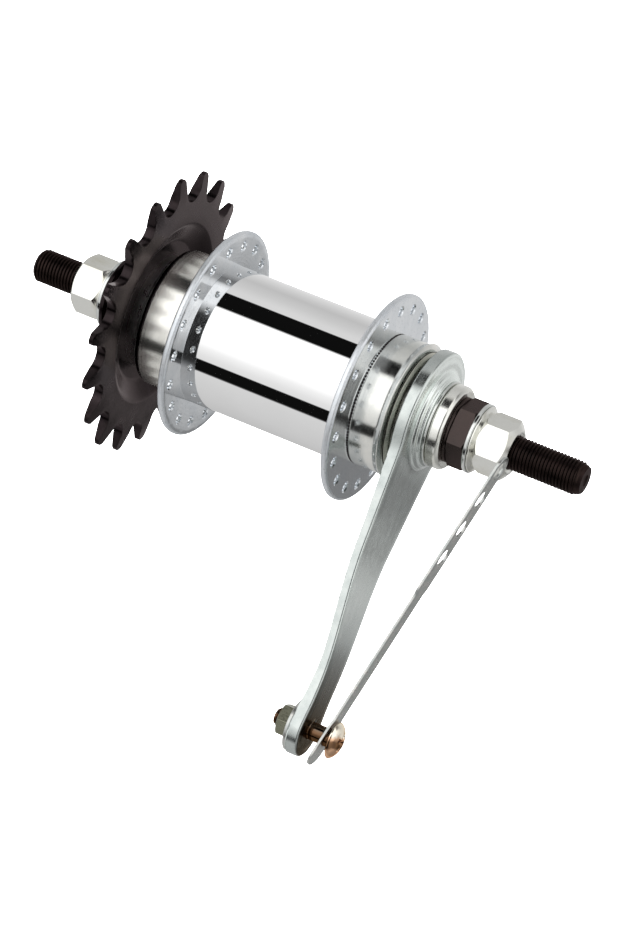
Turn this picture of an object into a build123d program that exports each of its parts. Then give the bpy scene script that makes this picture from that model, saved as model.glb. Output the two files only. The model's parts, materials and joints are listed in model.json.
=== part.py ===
"""Bicycle rear hub with a back-pedal (coaster) brake, its brake arm and frame clip, in millimetres.

The axle lies on X with the brake arm towards +X, Z is up, and the origin is on the axle's axis,
midway between the two faces that clamp against the frame ends.
"""
import os
from math import cos, radians, sin, tan

from build123d import *

# Driving dimensions of the whole hub
CLAMP_HALF_WIDTH = 55.0
AXLE_R = 4.76
AXLE_DRIVE_END = -80.5
AXLE_BRAKE_END = 87.5
AXLE_CHAMFER = 1.0
FIXED_FIT = 0.03
RUNNING_FIT = 0.07

# Shell: barrel, spoke flanges and the two bearing drums
BARREL_R = 19.7
BRAKE_BORE_R = 17.2
SPIGOT_R = 17.5
SPIGOT_BORE_R = 15.4
SPIGOT_X = 20.5
SPIGOT_GAP = 0.1
TAPER_X1 = -12.5
TAPER_R0 = 15.2
TAPER_R1 = 17.0
FLANGE_R = 29.5
FLANGE_X = 25.25
FLANGE_T = 2.0
FLANGE_SEAT_R = 18.1
FLANGE_EDGE = 0.8
SPOKE_CIRCLE_R = 25.4
SPOKE_HOLES = 18
SPOKE_HOLE_R = 1.35
SPOKE_PHASE_DRIVE = 12.7
SPOKE_PHASE_BRAKE = 2.4
CUP_FLOOR_X = 27.5
DRIVE_DRUM_R = 19.4
DRIVE_DRUM_END = -38.9
DRIVE_DRUM_BORE = 17.6
DRIVE_CUP_HOLE = 11.4
BRAKE_DRUM_R = 18.6
BRAKE_RIM_X = 31.4
BRAKE_RIM_R = 19.3
BRAKE_DRUM_END = 36.2
BRAKE_DRUM_BORE = 17.0
BRAKE_SPIGOT_BORE_R = 16.0
BRAKE_CUP_HOLE = 13.9

# Bearings, each a ball radius, ball circle, ball count and place on the axle
SHELL_BALL_R = 3.0
SHELL_BALL_CIRCLE = 13.3
SHELL_BALLS = 9
SHELL_BEARING_X = -33.5
OUTER_BALL_R = 1.98
OUTER_BALL_CIRCLE = 8.9
OUTER_BALLS = 9
OUTER_BEARING_X = -45.2
BRAKE_BALL_R = 2.38
BRAKE_BALL_CIRCLE = 14.4
BRAKE_BALLS = 12
BRAKE_BEARING_X = 32.0
RACE_GAP = 0.08

# Driver, sprocket and the snap ring that holds it
TEETH = 18
CHAIN_PITCH = 12.7
ROLLER_SEAT_R = 3.95
ROLLER_SEAT_ANGLE = 65.0
SPROCKET_TIP_R = 40.5
TOOTH_ROOT_BEVEL_R = 35.5
TOOTH_TIP_THIN = 0.8
SPROCKET_T = 2.8
SPROCKET_X = -42.0
SPROCKET_DISH = 2.8
DISH_R0 = 20.8
DISH_R1 = 25.6
TOOTH_PHASE = 10.1
TOOTH_TIP_HALF_GAP = 6.1
DRIVER_R = 13.0
DRIVER_END = -48.0
DRIVER_MOUTH_R = 11.0
DRIVER_SHOULDER_R = 16.2
DRIVER_SHOULDER_END = -40.6
DRIVER_SEAT_R = 12.2
DRIVER_NECK_R = 9.6
DRIVER_NECK_END = -29.0
DRIVER_THREAD_R = 9.0
DRIVER_THREAD_END = -10.5
DRIVER_BORE_R = 5.6
LUG_R = 14.8
LUG_WIDTH = 7.0
LUGS = 3
SNAP_GROOVE_X0 = -47.3
SNAP_GROOVE_X1 = -46.2
SNAP_GROOVE_DEPTH = 0.7
SNAP_RING_R = 14.2

# Clutch cone, retarder spring and brake shoes
CLUTCH_X0 = -19.5
CLUTCH_NOSE_X = 1.0
CLUTCH_COLLAR_X = -7.0
CLUTCH_COLLAR_R = 14.6
CLUTCH_GAP = 0.12
SPRING_SEAT_X = -12.0
SPRING_SEAT_R = 13.2
BRAKE_TAPER = tan(radians(15))
SHOE_R = 16.75
SHOE_LENGTH = 20.2
SHOE_BORE_R = 12.5
SHOE_SLIT = 2.4

# Fixed cones on the axle
BRAKE_CONE_X0 = 15.7
BRAKE_CONE_R = 13.6
BRAKE_CONE_NECK_X = 24.6
BRAKE_CONE_NECK_R = 11.7
BRAKE_CONE_BODY_R = 13.7
BRAKE_CONE_FLANGE_R = 13.0
CONE_END = -50.5
CONE_R = 9.0
CONE_FLATS_HALF = 7.5

# Dust covers, each a place along the axle
DRIVER_CAP_X = -38.6
DRIVER_CAP_T = 0.9
OUTER_CAP_T = 0.6
BRAKE_CAP_X = 36.4
BRAKE_CAP_T = 1.0

# Brake arm, seen along the axle: it points down and back from the axle
ARM_ANGLE = -145.0
ARM_LENGTH = 88.6
ARM_FACE_X = 42.0
ARM_TIP_FACE_X = 45.0
ARM_SHEET = 2.0
ARM_DEPTH = 3.5
ARM_HEAD_R = 18.4
ARM_TIP_R = 7.8
ARM_NECK = (10.0, 15.8)
ARM_SHOULDER = (52.0, 9.9)
ARM_WAIST = (79.0, 6.9)
ARM_CRANK_START = 44.0
ARM_CRANK_END = 74.0
ARM_BOSS_R = 13.8
ARM_BOSS_TOP_R = 12.3
ARM_BOSS_TOP_X = 44.8
ARM_SEAT_R = 9.3
ARM_SEAT_HALF_FLATS = 8.0
ARM_WASHER_R = 12.0
ARM_WASHER_T = 0.8
COLLAR_R = 11.8
COLLAR_END = 49.0

# Frame clip: screw, nut, washer, and a strap that hangs loose on the screw and leans outwards
SCREW_R = 2.475
SCREW_HEAD_R = 5.1
SCREW_HEAD_X = 51.9
SCREW_HEAD_H = 2.8
SCREW_HEAD_ROUND = 1.9
SCREW_OVERHANG = 0.6
CLIP_NUT_FLATS = 8.0
CLIP_NUT_H = 5.0
CLIP_NUT_TURN = 15.0
CLIP_WASHER_R = 7.4
CLIP_WASHER_T = 1.0
STRAP_X = 50.0
STRAP_T = 0.8
STRAP_WIDE = 7.3
STRAP_NARROW = 5.9
STRAP_LENGTH = 88.9
STRAP_TAIL = 8.8
STRAP_EYE_LENGTH = 16.0
STRAP_EYE_R = 2.75
STRAP_ANGLE = 45.0
STRAP_LEAN_ANGLE = 12.8
STRAP_WIDE_LENGTH = 44.5
STRAP_HOLES = 4
STRAP_HOLE_R = 2.6
STRAP_HOLE_PITCH = 9.1
STRAP_FIRST_HOLE = 4.1

# Lock nuts and axle nuts
LOCK_NUT_FLATS = 17.0
LOCK_NUT_TURN = 35.0
LOCK_NUT_CORNER_CUT = 0.9
LOCK_NUT_SEAT_R = 9.2
LOCK_NUT_SEAT_T = 0.6
DRIVE_WASHER_R = 11.3
DRIVE_WASHER_T = 1.2
AXLE_NUT_FLATS = 15.0
AXLE_NUT_TURN = 39.5
AXLE_NUT_H = 10.2
AXLE_NUT_TOP_CUT = 2.4
AXLE_NUT_FOOT_R = 9.3
NUT_WASHER_R = 10.0
NUT_WASHER_T = 1.7
NUT_WASHER_FIT = 0.4

inner_face = FLANGE_X - FLANGE_T / 2
outer_face = FLANGE_X + FLANGE_T / 2
fixed_bore = AXLE_R + FIXED_FIT
arm_dir = (0, cos(radians(ARM_ANGLE)), sin(radians(ARM_ANGLE)))
arm_side = (0, -arm_dir[2], arm_dir[1])
screw_y = ARM_LENGTH * arm_dir[1]
screw_z = ARM_LENGTH * arm_dir[2]

os.makedirs("parts", exist_ok=True)


def turn(points, grooves=(), mode=Mode.ADD):
    """Turn a closed outline of (x, radius) points about the axle, less round grooves (x, radius, size)."""
    with BuildSketch(Plane.XY) as outline:
        with BuildLine():
            Polyline(*points, close=True)
        make_face()
        for x, r, size in grooves:
            with Locations((x, r)):
                Circle(size, mode=Mode.SUBTRACT)
    revolve(outline.sketch, axis=Axis.X, mode=mode)


def ring(x0, x1, r0, r1):
    """A plain ring between two places on the axle and two radii."""
    turn([(x0, r0), (x0, r1), (x1, r1), (x1, r0)])


def hexagon(x0, length, flats, turned):
    """A hexagonal bar about the axle, from x0 along +X, turned from a corner towards +Y."""
    with BuildSketch(Plane.YZ.offset(x0)) as hexagon_face:
        RegularPolygon(radius=flats / 2, side_count=6, major_radius=False, rotation=turned)
    extrude(hexagon_face.sketch, amount=length)


def axle_bore(x0, x1, radius):
    """A bore about the axle through the part being made."""
    turn([(x0 - 1, 0), (x0 - 1, radius), (x1 + 1, radius), (x1 + 1, 0)], mode=Mode.SUBTRACT)


def save(part, label):
    """Label one finished piece and write it."""
    part.label = label
    export_step(part, f"parts/{label}.step")


# Axle: a rod with both ends chamfered, its thread not cut
with BuildPart() as axle:
    turn([
        (AXLE_DRIVE_END, 0), (AXLE_DRIVE_END, AXLE_R - AXLE_CHAMFER), (AXLE_DRIVE_END + AXLE_CHAMFER, AXLE_R),
        (AXLE_BRAKE_END - 2 * AXLE_CHAMFER, AXLE_R), (AXLE_BRAKE_END, AXLE_R - AXLE_CHAMFER),
        (AXLE_BRAKE_END, 0),
    ])
save(axle.part, "axle")

# Barrel: the tube between the flanges, with the brake bore and the drive taper inside
with BuildPart() as barrel_tube:
    turn([
        (-inner_face, SPIGOT_R), (-inner_face, BARREL_R), (inner_face, BARREL_R), (inner_face, SPIGOT_R),
        (SPIGOT_X, SPIGOT_R), (SPIGOT_X, BRAKE_BORE_R), (TAPER_X1, BRAKE_BORE_R), (TAPER_X1, TAPER_R1),
        (-SPIGOT_X, TAPER_R0), (-SPIGOT_X, SPIGOT_R),
    ])
save(barrel_tube.part, "barrel_tube")


# Spoke flanges: two discs with a ring of spoke holes, half a hole pitch apart
def flange(label, x0, phase):
    """One spoke flange from x0 along +X, its holes turned by phase."""
    with BuildPart() as disc:
        with BuildSketch(Plane.YZ.offset(x0)):
            Circle(FLANGE_R)
            Circle(FLANGE_SEAT_R + FIXED_FIT, mode=Mode.SUBTRACT)
            with PolarLocations(SPOKE_CIRCLE_R, SPOKE_HOLES, start_angle=phase):
                Circle(SPOKE_HOLE_R, mode=Mode.SUBTRACT)
        extrude(amount=FLANGE_T)
        rim = disc.edges().filter_by(GeomType.CIRCLE).filter_by(lambda edge: edge.radius > FLANGE_R - 0.1)
        fillet(rim, radius=FLANGE_EDGE)
    save(disc.part, label)


flange("drive_flange", -outer_face, SPOKE_PHASE_DRIVE)
flange("brake_flange", inner_face, SPOKE_PHASE_BRAKE)

# Drive drum: pressed into the barrel, with the bearing cup for the driver
with BuildPart() as drive_drum:
    turn([
        (-SPIGOT_X - SPIGOT_GAP, SPIGOT_BORE_R), (-SPIGOT_X - SPIGOT_GAP, SPIGOT_R), (-inner_face, SPIGOT_R),
        (-inner_face, FLANGE_SEAT_R), (-outer_face, FLANGE_SEAT_R), (-outer_face, DRIVE_DRUM_R),
        (DRIVE_DRUM_END + 0.6, DRIVE_DRUM_R), (DRIVE_DRUM_END, DRIVE_DRUM_R - 0.6),
        (DRIVE_DRUM_END, DRIVE_DRUM_BORE), (SHELL_BEARING_X, DRIVE_DRUM_BORE),
        (SHELL_BEARING_X, DRIVE_CUP_HOLE), (-CUP_FLOOR_X, DRIVE_CUP_HOLE), (-CUP_FLOOR_X, SPIGOT_BORE_R),
    ], grooves=[(SHELL_BEARING_X, SHELL_BALL_CIRCLE, SHELL_BALL_R + RACE_GAP)])
save(drive_drum.part, "drive_drum")

# Brake drum: pressed in from the other side, swelling to a rounded rim
with BuildPart() as brake_drum:
    turn([
        (SPIGOT_X + SPIGOT_GAP, BRAKE_SPIGOT_BORE_R), (SPIGOT_X + SPIGOT_GAP, SPIGOT_R),
        (inner_face, SPIGOT_R), (inner_face, FLANGE_SEAT_R), (outer_face, FLANGE_SEAT_R),
        (outer_face, BRAKE_DRUM_R), (BRAKE_RIM_X, BRAKE_DRUM_R), (BRAKE_RIM_X + 1.2, BRAKE_RIM_R),
        (BRAKE_DRUM_END - 0.7, BRAKE_RIM_R), (BRAKE_DRUM_END, BRAKE_RIM_R - 0.7),
        (BRAKE_DRUM_END, BRAKE_DRUM_BORE), (BRAKE_BEARING_X, BRAKE_DRUM_BORE),
        (BRAKE_BEARING_X, BRAKE_CUP_HOLE), (CUP_FLOOR_X, BRAKE_CUP_HOLE),
        (CUP_FLOOR_X, BRAKE_SPIGOT_BORE_R),
    ], grooves=[(BRAKE_BEARING_X, BRAKE_BALL_CIRCLE, BRAKE_BALL_R + RACE_GAP)])
save(brake_drum.part, "brake_drum")


# Ball bearings: the balls of each row, and the pressed cage that spaces them
def bearing(balls_label, cage_label, x, circle, ball_r, count, cage):
    """One row of loose balls and its cage, a thin ring (x0, x1, r0, r1) with a pocket for each ball."""
    with BuildPart(Plane.YZ.offset(x)) as balls:
        with PolarLocations(circle, count):
            Sphere(ball_r)
    save(balls.part, balls_label)
    with BuildPart(Plane.YZ.offset(x)) as retainer:
        ring(*cage)
        with PolarLocations(circle, count):
            Sphere(ball_r + RACE_GAP / 2, mode=Mode.SUBTRACT)
    save(retainer.part, cage_label)


bearing("driver_balls", "driver_ball_cage", SHELL_BEARING_X, SHELL_BALL_CIRCLE, SHELL_BALL_R, SHELL_BALLS,
        (SHELL_BEARING_X - 2.6, SHELL_BEARING_X - 1.7, 12.5, 16.4))
bearing("outer_balls", "outer_ball_cage", OUTER_BEARING_X, OUTER_BALL_CIRCLE, OUTER_BALL_R, OUTER_BALLS,
        (OUTER_BEARING_X - 1.6, OUTER_BEARING_X - 0.9, 8.95, 10.75))
bearing("brake_balls", "brake_ball_cage", BRAKE_BEARING_X, BRAKE_BALL_CIRCLE, BRAKE_BALL_R, BRAKE_BALLS,
        (BRAKE_BEARING_X + 1.0, BRAKE_BEARING_X + 1.8, 13.95, 16.6))

# Driver: the sleeve that carries the sprocket, runs on two ball rows and works the clutch on its thread
tooth_face = SPROCKET_X + SPROCKET_T / 2
tooth_back = tooth_face - SPROCKET_T
seat_face = tooth_face - SPROCKET_DISH
seat_back = seat_face - SPROCKET_T
with BuildPart() as driver:
    turn([
        (DRIVER_END, DRIVER_MOUTH_R), (DRIVER_END, DRIVER_R), (SNAP_GROOVE_X0, DRIVER_R),
        (SNAP_GROOVE_X0, DRIVER_R - SNAP_GROOVE_DEPTH), (SNAP_GROOVE_X1, DRIVER_R - SNAP_GROOVE_DEPTH),
        (SNAP_GROOVE_X1, DRIVER_R), (seat_face, DRIVER_R), (seat_face, DRIVER_SHOULDER_R),
        (DRIVER_SHOULDER_END, DRIVER_SHOULDER_R), (DRIVER_SHOULDER_END, DRIVER_SEAT_R),
        (SHELL_BEARING_X, DRIVER_SEAT_R), (SHELL_BEARING_X, DRIVER_NECK_R), (DRIVER_NECK_END, DRIVER_NECK_R),
        (DRIVER_NECK_END, DRIVER_THREAD_R), (DRIVER_THREAD_END, DRIVER_THREAD_R),
        (DRIVER_THREAD_END, DRIVER_BORE_R), (OUTER_BEARING_X, DRIVER_BORE_R),
        (OUTER_BEARING_X, DRIVER_MOUTH_R),
    ], grooves=[
        (SHELL_BEARING_X, SHELL_BALL_CIRCLE, SHELL_BALL_R + RACE_GAP),
        (OUTER_BEARING_X, OUTER_BALL_CIRCLE, OUTER_BALL_R + RACE_GAP),
    ])
    with BuildSketch(Plane.YZ.offset(seat_back)):
        with PolarLocations(LUG_R - 1.0, LUGS):
            Rectangle(2.0, LUG_WIDTH)
    extrude(amount=SPROCKET_T)
save(driver.part, "driver")

# Sprocket: a dished disc with thinned teeth, three notches for the driver's lugs
pitch_r = CHAIN_PITCH / (2 * sin(radians(180 / TEETH)))
seat_x = pitch_r - ROLLER_SEAT_R * cos(radians(ROLLER_SEAT_ANGLE))
seat_y = ROLLER_SEAT_R * sin(radians(ROLLER_SEAT_ANGLE))
with BuildPart() as sprocket:
    turn([
        (seat_back, DRIVER_R + FIXED_FIT), (seat_back, DISH_R0 + 0.6), (tooth_back, DISH_R1 + 0.6),
        (tooth_back, TOOTH_ROOT_BEVEL_R), (tooth_back + TOOTH_TIP_THIN, SPROCKET_TIP_R),
        (tooth_face - TOOTH_TIP_THIN, SPROCKET_TIP_R), (tooth_face, TOOTH_ROOT_BEVEL_R),
        (tooth_face, DISH_R1), (seat_face, DISH_R0), (seat_face, DRIVER_R + FIXED_FIT),
    ])
    with BuildSketch(Plane.YZ.offset(tooth_back - 0.5)) as gaps:
        with BuildLine() as gap:
            seat = ThreePointArc((seat_x, seat_y), (pitch_r - ROLLER_SEAT_R, 0), (seat_x, -seat_y))
            Polyline(
                seat @ 1, (SPROCKET_TIP_R + 1, -TOOTH_TIP_HALF_GAP),
                (SPROCKET_TIP_R + 1, TOOTH_TIP_HALF_GAP), seat @ 0,
            )
        one_gap = make_face(mode=Mode.PRIVATE)
        with PolarLocations(0, TEETH, start_angle=TOOTH_PHASE + 180 / TEETH):
            add(one_gap)
    extrude(amount=SPROCKET_T + 1, mode=Mode.SUBTRACT)
    with BuildSketch(Plane.YZ.offset(seat_back - 0.5)):
        with PolarLocations(LUG_R - 1.0, LUGS):
            Rectangle(2.2, LUG_WIDTH + 0.2)
    extrude(amount=SPROCKET_T + SPROCKET_DISH + 1, mode=Mode.SUBTRACT)
save(sprocket.part, "sprocket")

# Snap ring: an open spring ring in the driver's groove that holds the sprocket
with BuildPart() as snap_ring:
    ring(SNAP_GROOVE_X0 + 0.05, SNAP_GROOVE_X1, DRIVER_R - SNAP_GROOVE_DEPTH + FIXED_FIT, SNAP_RING_R)
    with BuildSketch(Plane.YZ.offset(DRIVER_END)):
        with Locations((0, SNAP_RING_R)):
            Rectangle(4.0, 6.0)
    extrude(amount=3, mode=Mode.SUBTRACT)
save(snap_ring.part, "snap_ring")

# Dust covers: one over each ball row that faces out
with BuildPart() as driver_dust_cap:
    ring(DRIVER_CAP_X, DRIVER_CAP_X + DRIVER_CAP_T, DRIVER_SEAT_R + FIXED_FIT, 17.25)
save(driver_dust_cap.part, "driver_dust_cap")

with BuildPart() as outer_dust_cap:
    ring(DRIVER_END - OUTER_CAP_T, DRIVER_END, CONE_R + 0.35, DRIVER_R)
save(outer_dust_cap.part, "outer_dust_cap")

with BuildPart() as brake_dust_cap:
    ring(BRAKE_CAP_X, BRAKE_CAP_X + BRAKE_CAP_T, BRAKE_CONE_BODY_R + FIXED_FIT, 16.6)
save(brake_dust_cap.part, "brake_dust_cap")

# Adjusting cone: the drive side cone on the axle, with two flats for a thin spanner
with BuildPart() as adjusting_cone:
    turn([
        (CONE_END, fixed_bore), (CONE_END, CONE_R), (DRIVER_END - 0.7, CONE_R),
        (DRIVER_END - 0.7, CONE_R - 0.4), (OUTER_BEARING_X - 0.5, CONE_R - 0.4),
        (OUTER_BEARING_X - 0.5, fixed_bore),
    ], grooves=[(OUTER_BEARING_X, OUTER_BALL_CIRCLE, OUTER_BALL_R + RACE_GAP)])
    with BuildSketch(Plane.YZ.offset(CONE_END)):
        with Locations((0, CONE_FLATS_HALF + 1), (0, -CONE_FLATS_HALF - 1)):
            Rectangle(12, 2.0)
    extrude(amount=1.8, mode=Mode.SUBTRACT)
save(adjusting_cone.part, "adjusting_cone")

# Clutch cone: runs along the driver's thread, grips the barrel's taper or wedges the brake shoes open
taper_slope = (TAPER_R1 - TAPER_R0) / (TAPER_X1 + SPIGOT_X)
clutch_bore = DRIVER_THREAD_R + RUNNING_FIT
clutch_r0 = TAPER_R0 + taper_slope * (CLUTCH_X0 + SPIGOT_X) - CLUTCH_GAP
clutch_r1 = TAPER_R0 + taper_slope * (SPRING_SEAT_X - 1 + SPIGOT_X) - CLUTCH_GAP
nose_r = CLUTCH_COLLAR_R - BRAKE_TAPER * (CLUTCH_NOSE_X - CLUTCH_COLLAR_X)
with BuildPart() as clutch_cone:
    turn([
        (CLUTCH_X0, clutch_bore), (CLUTCH_X0, clutch_r0), (SPRING_SEAT_X - 1, clutch_r1),
        (SPRING_SEAT_X, clutch_r1), (SPRING_SEAT_X, SPRING_SEAT_R), (CLUTCH_COLLAR_X - 0.5, SPRING_SEAT_R),
        (CLUTCH_COLLAR_X - 0.5, CLUTCH_COLLAR_R), (CLUTCH_COLLAR_X, CLUTCH_COLLAR_R),
        (CLUTCH_NOSE_X, nose_r), (CLUTCH_NOSE_X, clutch_bore),
    ])
save(clutch_cone.part, "clutch_cone")

# Retarder spring: the open ring that drags on the clutch cone
with BuildPart() as retarder_spring:
    ring(SPRING_SEAT_X + 1.2, SPRING_SEAT_X + 3.1, SPRING_SEAT_R + FIXED_FIT, 14.9)
    with BuildSketch(Plane.YZ.offset(SPRING_SEAT_X)):
        with Locations((0, 14)):
            Rectangle(3.0, 6.0)
    extrude(amount=5, mode=Mode.SUBTRACT)
save(retarder_spring.part, "retarder_spring")


# Brake shoes: two half sleeves, tapered inside at both ends
def brake_shoe(label, side):
    """One half sleeve on the side of +Z (1) or -Z (-1)."""
    with BuildPart() as shoe:
        turn([
            (0, SHOE_BORE_R + 0.95), (3.5, SHOE_BORE_R), (SHOE_LENGTH - 3.7, SHOE_BORE_R + 0.05),
            (SHOE_LENGTH, SHOE_BORE_R + 1.05), (SHOE_LENGTH, SHOE_R), (0, SHOE_R),
        ])
        with BuildSketch(Plane.YZ.offset(-1)):
            with Locations((0, -side * (SHOE_R + 1 - SHOE_SLIT / 2))):
                Rectangle(2 * SHOE_R + 4, 2 * (SHOE_R + 1))
        extrude(amount=SHOE_LENGTH + 2, mode=Mode.SUBTRACT)
    save(shoe.part, label)


brake_shoe("brake_shoe_upper", 1)
brake_shoe("brake_shoe_lower", -1)

# Brake cone: fixed to the axle and held still by the arm, it carries the shoes' wedge and the ball race
cone_flange_x = ARM_FACE_X - ARM_SHEET
with BuildPart() as brake_cone:
    turn([
        (BRAKE_CONE_X0, fixed_bore), (BRAKE_CONE_X0, BRAKE_CONE_R - 1.55),
        (SHOE_LENGTH + 0.2, BRAKE_CONE_R - 0.3), (SHOE_LENGTH + 0.2, BRAKE_CONE_R),
        (BRAKE_CONE_NECK_X, BRAKE_CONE_R), (BRAKE_CONE_NECK_X, BRAKE_CONE_NECK_R),
        (BRAKE_BEARING_X, BRAKE_CONE_NECK_R), (BRAKE_BEARING_X, BRAKE_CONE_BODY_R),
        (BRAKE_CAP_X + BRAKE_CAP_T, BRAKE_CONE_BODY_R), (BRAKE_CAP_X + BRAKE_CAP_T, BRAKE_CONE_FLANGE_R),
        (cone_flange_x, BRAKE_CONE_FLANGE_R), (cone_flange_x, fixed_bore),
    ], grooves=[(BRAKE_BEARING_X, BRAKE_BALL_CIRCLE, BRAKE_BALL_R + RACE_GAP)])
    with BuildSketch(Plane.YZ.offset(cone_flange_x)):
        Circle(ARM_SEAT_R)
        Rectangle(2 * ARM_SEAT_R, 2 * ARM_SEAT_HALF_FLATS, mode=Mode.INTERSECT)
        Circle(fixed_bore, mode=Mode.SUBTRACT)
    extrude(amount=ARM_BOSS_TOP_X - cone_flange_x)
save(brake_cone.part, "brake_cone")


# Brake arm: a pressed channel with a round head, cranked outwards on its way to the tip
arm_plane = Plane(origin=(0, 0, 0), x_dir=arm_dir, z_dir=(1, 0, 0))
arm_section = Plane(origin=(0, 0, 0), x_dir=arm_dir, z_dir=tuple(-c for c in arm_side))


def arm_outline(inset):
    """The arm seen along the axle, drawn in by inset: head, straight taper, waist and round tip."""
    neck = (ARM_NECK[0], ARM_NECK[1] - inset)
    shoulder = (ARM_SHOULDER[0], ARM_SHOULDER[1] - inset)
    waist = (ARM_WAIST[0], ARM_WAIST[1] - inset)
    tip = (ARM_LENGTH - 1.0, ARM_TIP_R - 0.1 - inset)
    with BuildSketch(arm_plane.offset(ARM_FACE_X - 12)) as outline:
        Circle(ARM_HEAD_R - inset)
        with Locations((ARM_LENGTH, 0)):
            Circle(ARM_TIP_R - inset)
        with BuildLine():
            taper = Line(neck, shoulder)
            Spline(shoulder, waist, tip, tangents=[taper % 1, (1, 0.05)])
            Polyline(tip, (tip[0], 0), (neck[0], 0), neck)
        make_face()
        mirror(about=Plane.XZ)
    return outline.sketch


def arm_band(near, far):
    """The layer of the arm between two depths behind its face, following the crank."""
    top = [(-30, ARM_FACE_X), (ARM_CRANK_START, ARM_FACE_X), (ARM_CRANK_END, ARM_TIP_FACE_X),
           (110, ARM_TIP_FACE_X)]
    with BuildSketch(arm_section) as band:
        with BuildLine():
            Polyline(*[(s, x - near) for s, x in top], *[(s, x - far) for s, x in reversed(top)], close=True)
        make_face()
    return band.sketch


with BuildPart() as arm_hollow:
    extrude(arm_outline(ARM_SHEET), amount=16)
    extrude(arm_band(ARM_SHEET, ARM_DEPTH + 1), amount=30, both=True, mode=Mode.INTERSECT)

with BuildPart() as brake_arm:
    extrude(arm_outline(0), amount=16)
    extrude(arm_band(0, ARM_DEPTH), amount=30, both=True, mode=Mode.INTERSECT)
    add(arm_hollow.part, mode=Mode.SUBTRACT)
    turn([
        (ARM_FACE_X - ARM_SHEET, 0), (ARM_FACE_X - ARM_SHEET, ARM_BOSS_R), (ARM_FACE_X, ARM_BOSS_R),
        (ARM_FACE_X + 1.2, ARM_BOSS_R - 1.0), (ARM_BOSS_TOP_X, ARM_BOSS_TOP_R), (ARM_BOSS_TOP_X, 0),
    ])
    with BuildSketch(Plane.YZ.offset(ARM_FACE_X - ARM_DEPTH - 1)):
        Circle(ARM_SEAT_R + FIXED_FIT)
        Rectangle(2 * ARM_SEAT_R + 1, 2 * (ARM_SEAT_HALF_FLATS + FIXED_FIT), mode=Mode.INTERSECT)
    extrude(amount=12, mode=Mode.SUBTRACT)
    with BuildSketch(arm_plane.offset(ARM_TIP_FACE_X - 8)):
        with Locations((ARM_LENGTH, 0)):
            Circle(SCREW_R + FIXED_FIT)
    extrude(amount=12, mode=Mode.SUBTRACT)
save(brake_arm.part, "brake_arm")

# Arm washer and collar: clamp the arm on the brake cone
collar_x0 = ARM_BOSS_TOP_X + ARM_WASHER_T
with BuildPart() as arm_washer:
    ring(ARM_BOSS_TOP_X, collar_x0, fixed_bore, ARM_WASHER_R)
save(arm_washer.part, "arm_washer")

with BuildPart() as arm_collar:
    turn([
        (collar_x0, fixed_bore), (collar_x0, COLLAR_R - 0.4), (collar_x0 + 0.5, COLLAR_R),
        (COLLAR_END - 0.8, COLLAR_R), (COLLAR_END, COLLAR_R - 0.8), (COLLAR_END, fixed_bore),
    ])
save(arm_collar.part, "arm_collar")


# Lock nuts: hexagons with turned corners on a round seat
def lock_nut(label, inner, outer):
    """One lock nut between two places on the axle, its round seat at the inner one."""
    side = 1 if outer > inner else -1
    corner = LOCK_NUT_FLATS / 2 / cos(radians(30))
    with BuildPart() as nut:
        hexagon(min(inner, outer), abs(outer - inner), LOCK_NUT_FLATS, LOCK_NUT_TURN)
        turn([
            (inner, 0), (inner, LOCK_NUT_SEAT_R), (inner + side * LOCK_NUT_SEAT_T, LOCK_NUT_SEAT_R),
            (inner + side * (LOCK_NUT_SEAT_T + 0.5), corner + 0.1), (outer - side * 0.55, corner + 0.1),
            (outer, corner - LOCK_NUT_CORNER_CUT), (outer, 0),
        ], mode=Mode.INTERSECT)
        ring(min(inner, inner + side * LOCK_NUT_SEAT_T), max(inner, inner + side * LOCK_NUT_SEAT_T),
             fixed_bore, LOCK_NUT_SEAT_R)
        axle_bore(min(inner, outer), max(inner, outer), fixed_bore)
    save(nut.part, label)


lock_nut("brake_lock_nut", COLLAR_END, CLAMP_HALF_WIDTH)
lock_nut("drive_lock_nut", CONE_END, -CLAMP_HALF_WIDTH + DRIVE_WASHER_T)

with BuildPart() as drive_lock_washer:
    ring(-CLAMP_HALF_WIDTH, -CLAMP_HALF_WIDTH + DRIVE_WASHER_T, fixed_bore, DRIVE_WASHER_R)
save(drive_lock_washer.part, "drive_lock_washer")


# Axle nuts: a hexagon on a round foot, over a washer that stays with it
def axle_nut(label, washer_label, side):
    """The nut and washer at the +X end (side 1) or the -X end (side -1)."""
    foot = CLAMP_HALF_WIDTH + NUT_WASHER_T
    top = foot + AXLE_NUT_H
    corner = AXLE_NUT_FLATS / 2 / cos(radians(30))
    with BuildPart() as nut:
        hexagon(min(side * foot, side * top), AXLE_NUT_H, AXLE_NUT_FLATS, AXLE_NUT_TURN)
        turn([
            (side * foot, 0), (side * foot, corner + 0.1), (side * (top - 1.6), corner + 0.1),
            (side * top, corner - AXLE_NUT_TOP_CUT), (side * top, 0),
        ], mode=Mode.INTERSECT)
        turn([
            (side * foot, 0), (side * foot, AXLE_NUT_FOOT_R), (side * (foot + 0.7), AXLE_NUT_FOOT_R),
            (side * (foot + 1.3), AXLE_NUT_FOOT_R - 0.9), (side * (foot + 1.3), 0),
        ])
        axle_bore(min(side * foot, side * top), max(side * foot, side * top), AXLE_R + RUNNING_FIT)
    save(nut.part, label)
    with BuildPart() as washer:
        turn([
            (side * CLAMP_HALF_WIDTH, AXLE_R + NUT_WASHER_FIT), (side * CLAMP_HALF_WIDTH, NUT_WASHER_R),
            (side * (foot - 0.5), NUT_WASHER_R), (side * foot, NUT_WASHER_R - 0.5),
            (side * foot, AXLE_R + NUT_WASHER_FIT),
        ])
    save(washer.part, washer_label)


axle_nut("brake_axle_nut", "brake_nut_washer", 1)
axle_nut("drive_axle_nut", "drive_nut_washer", -1)

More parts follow.
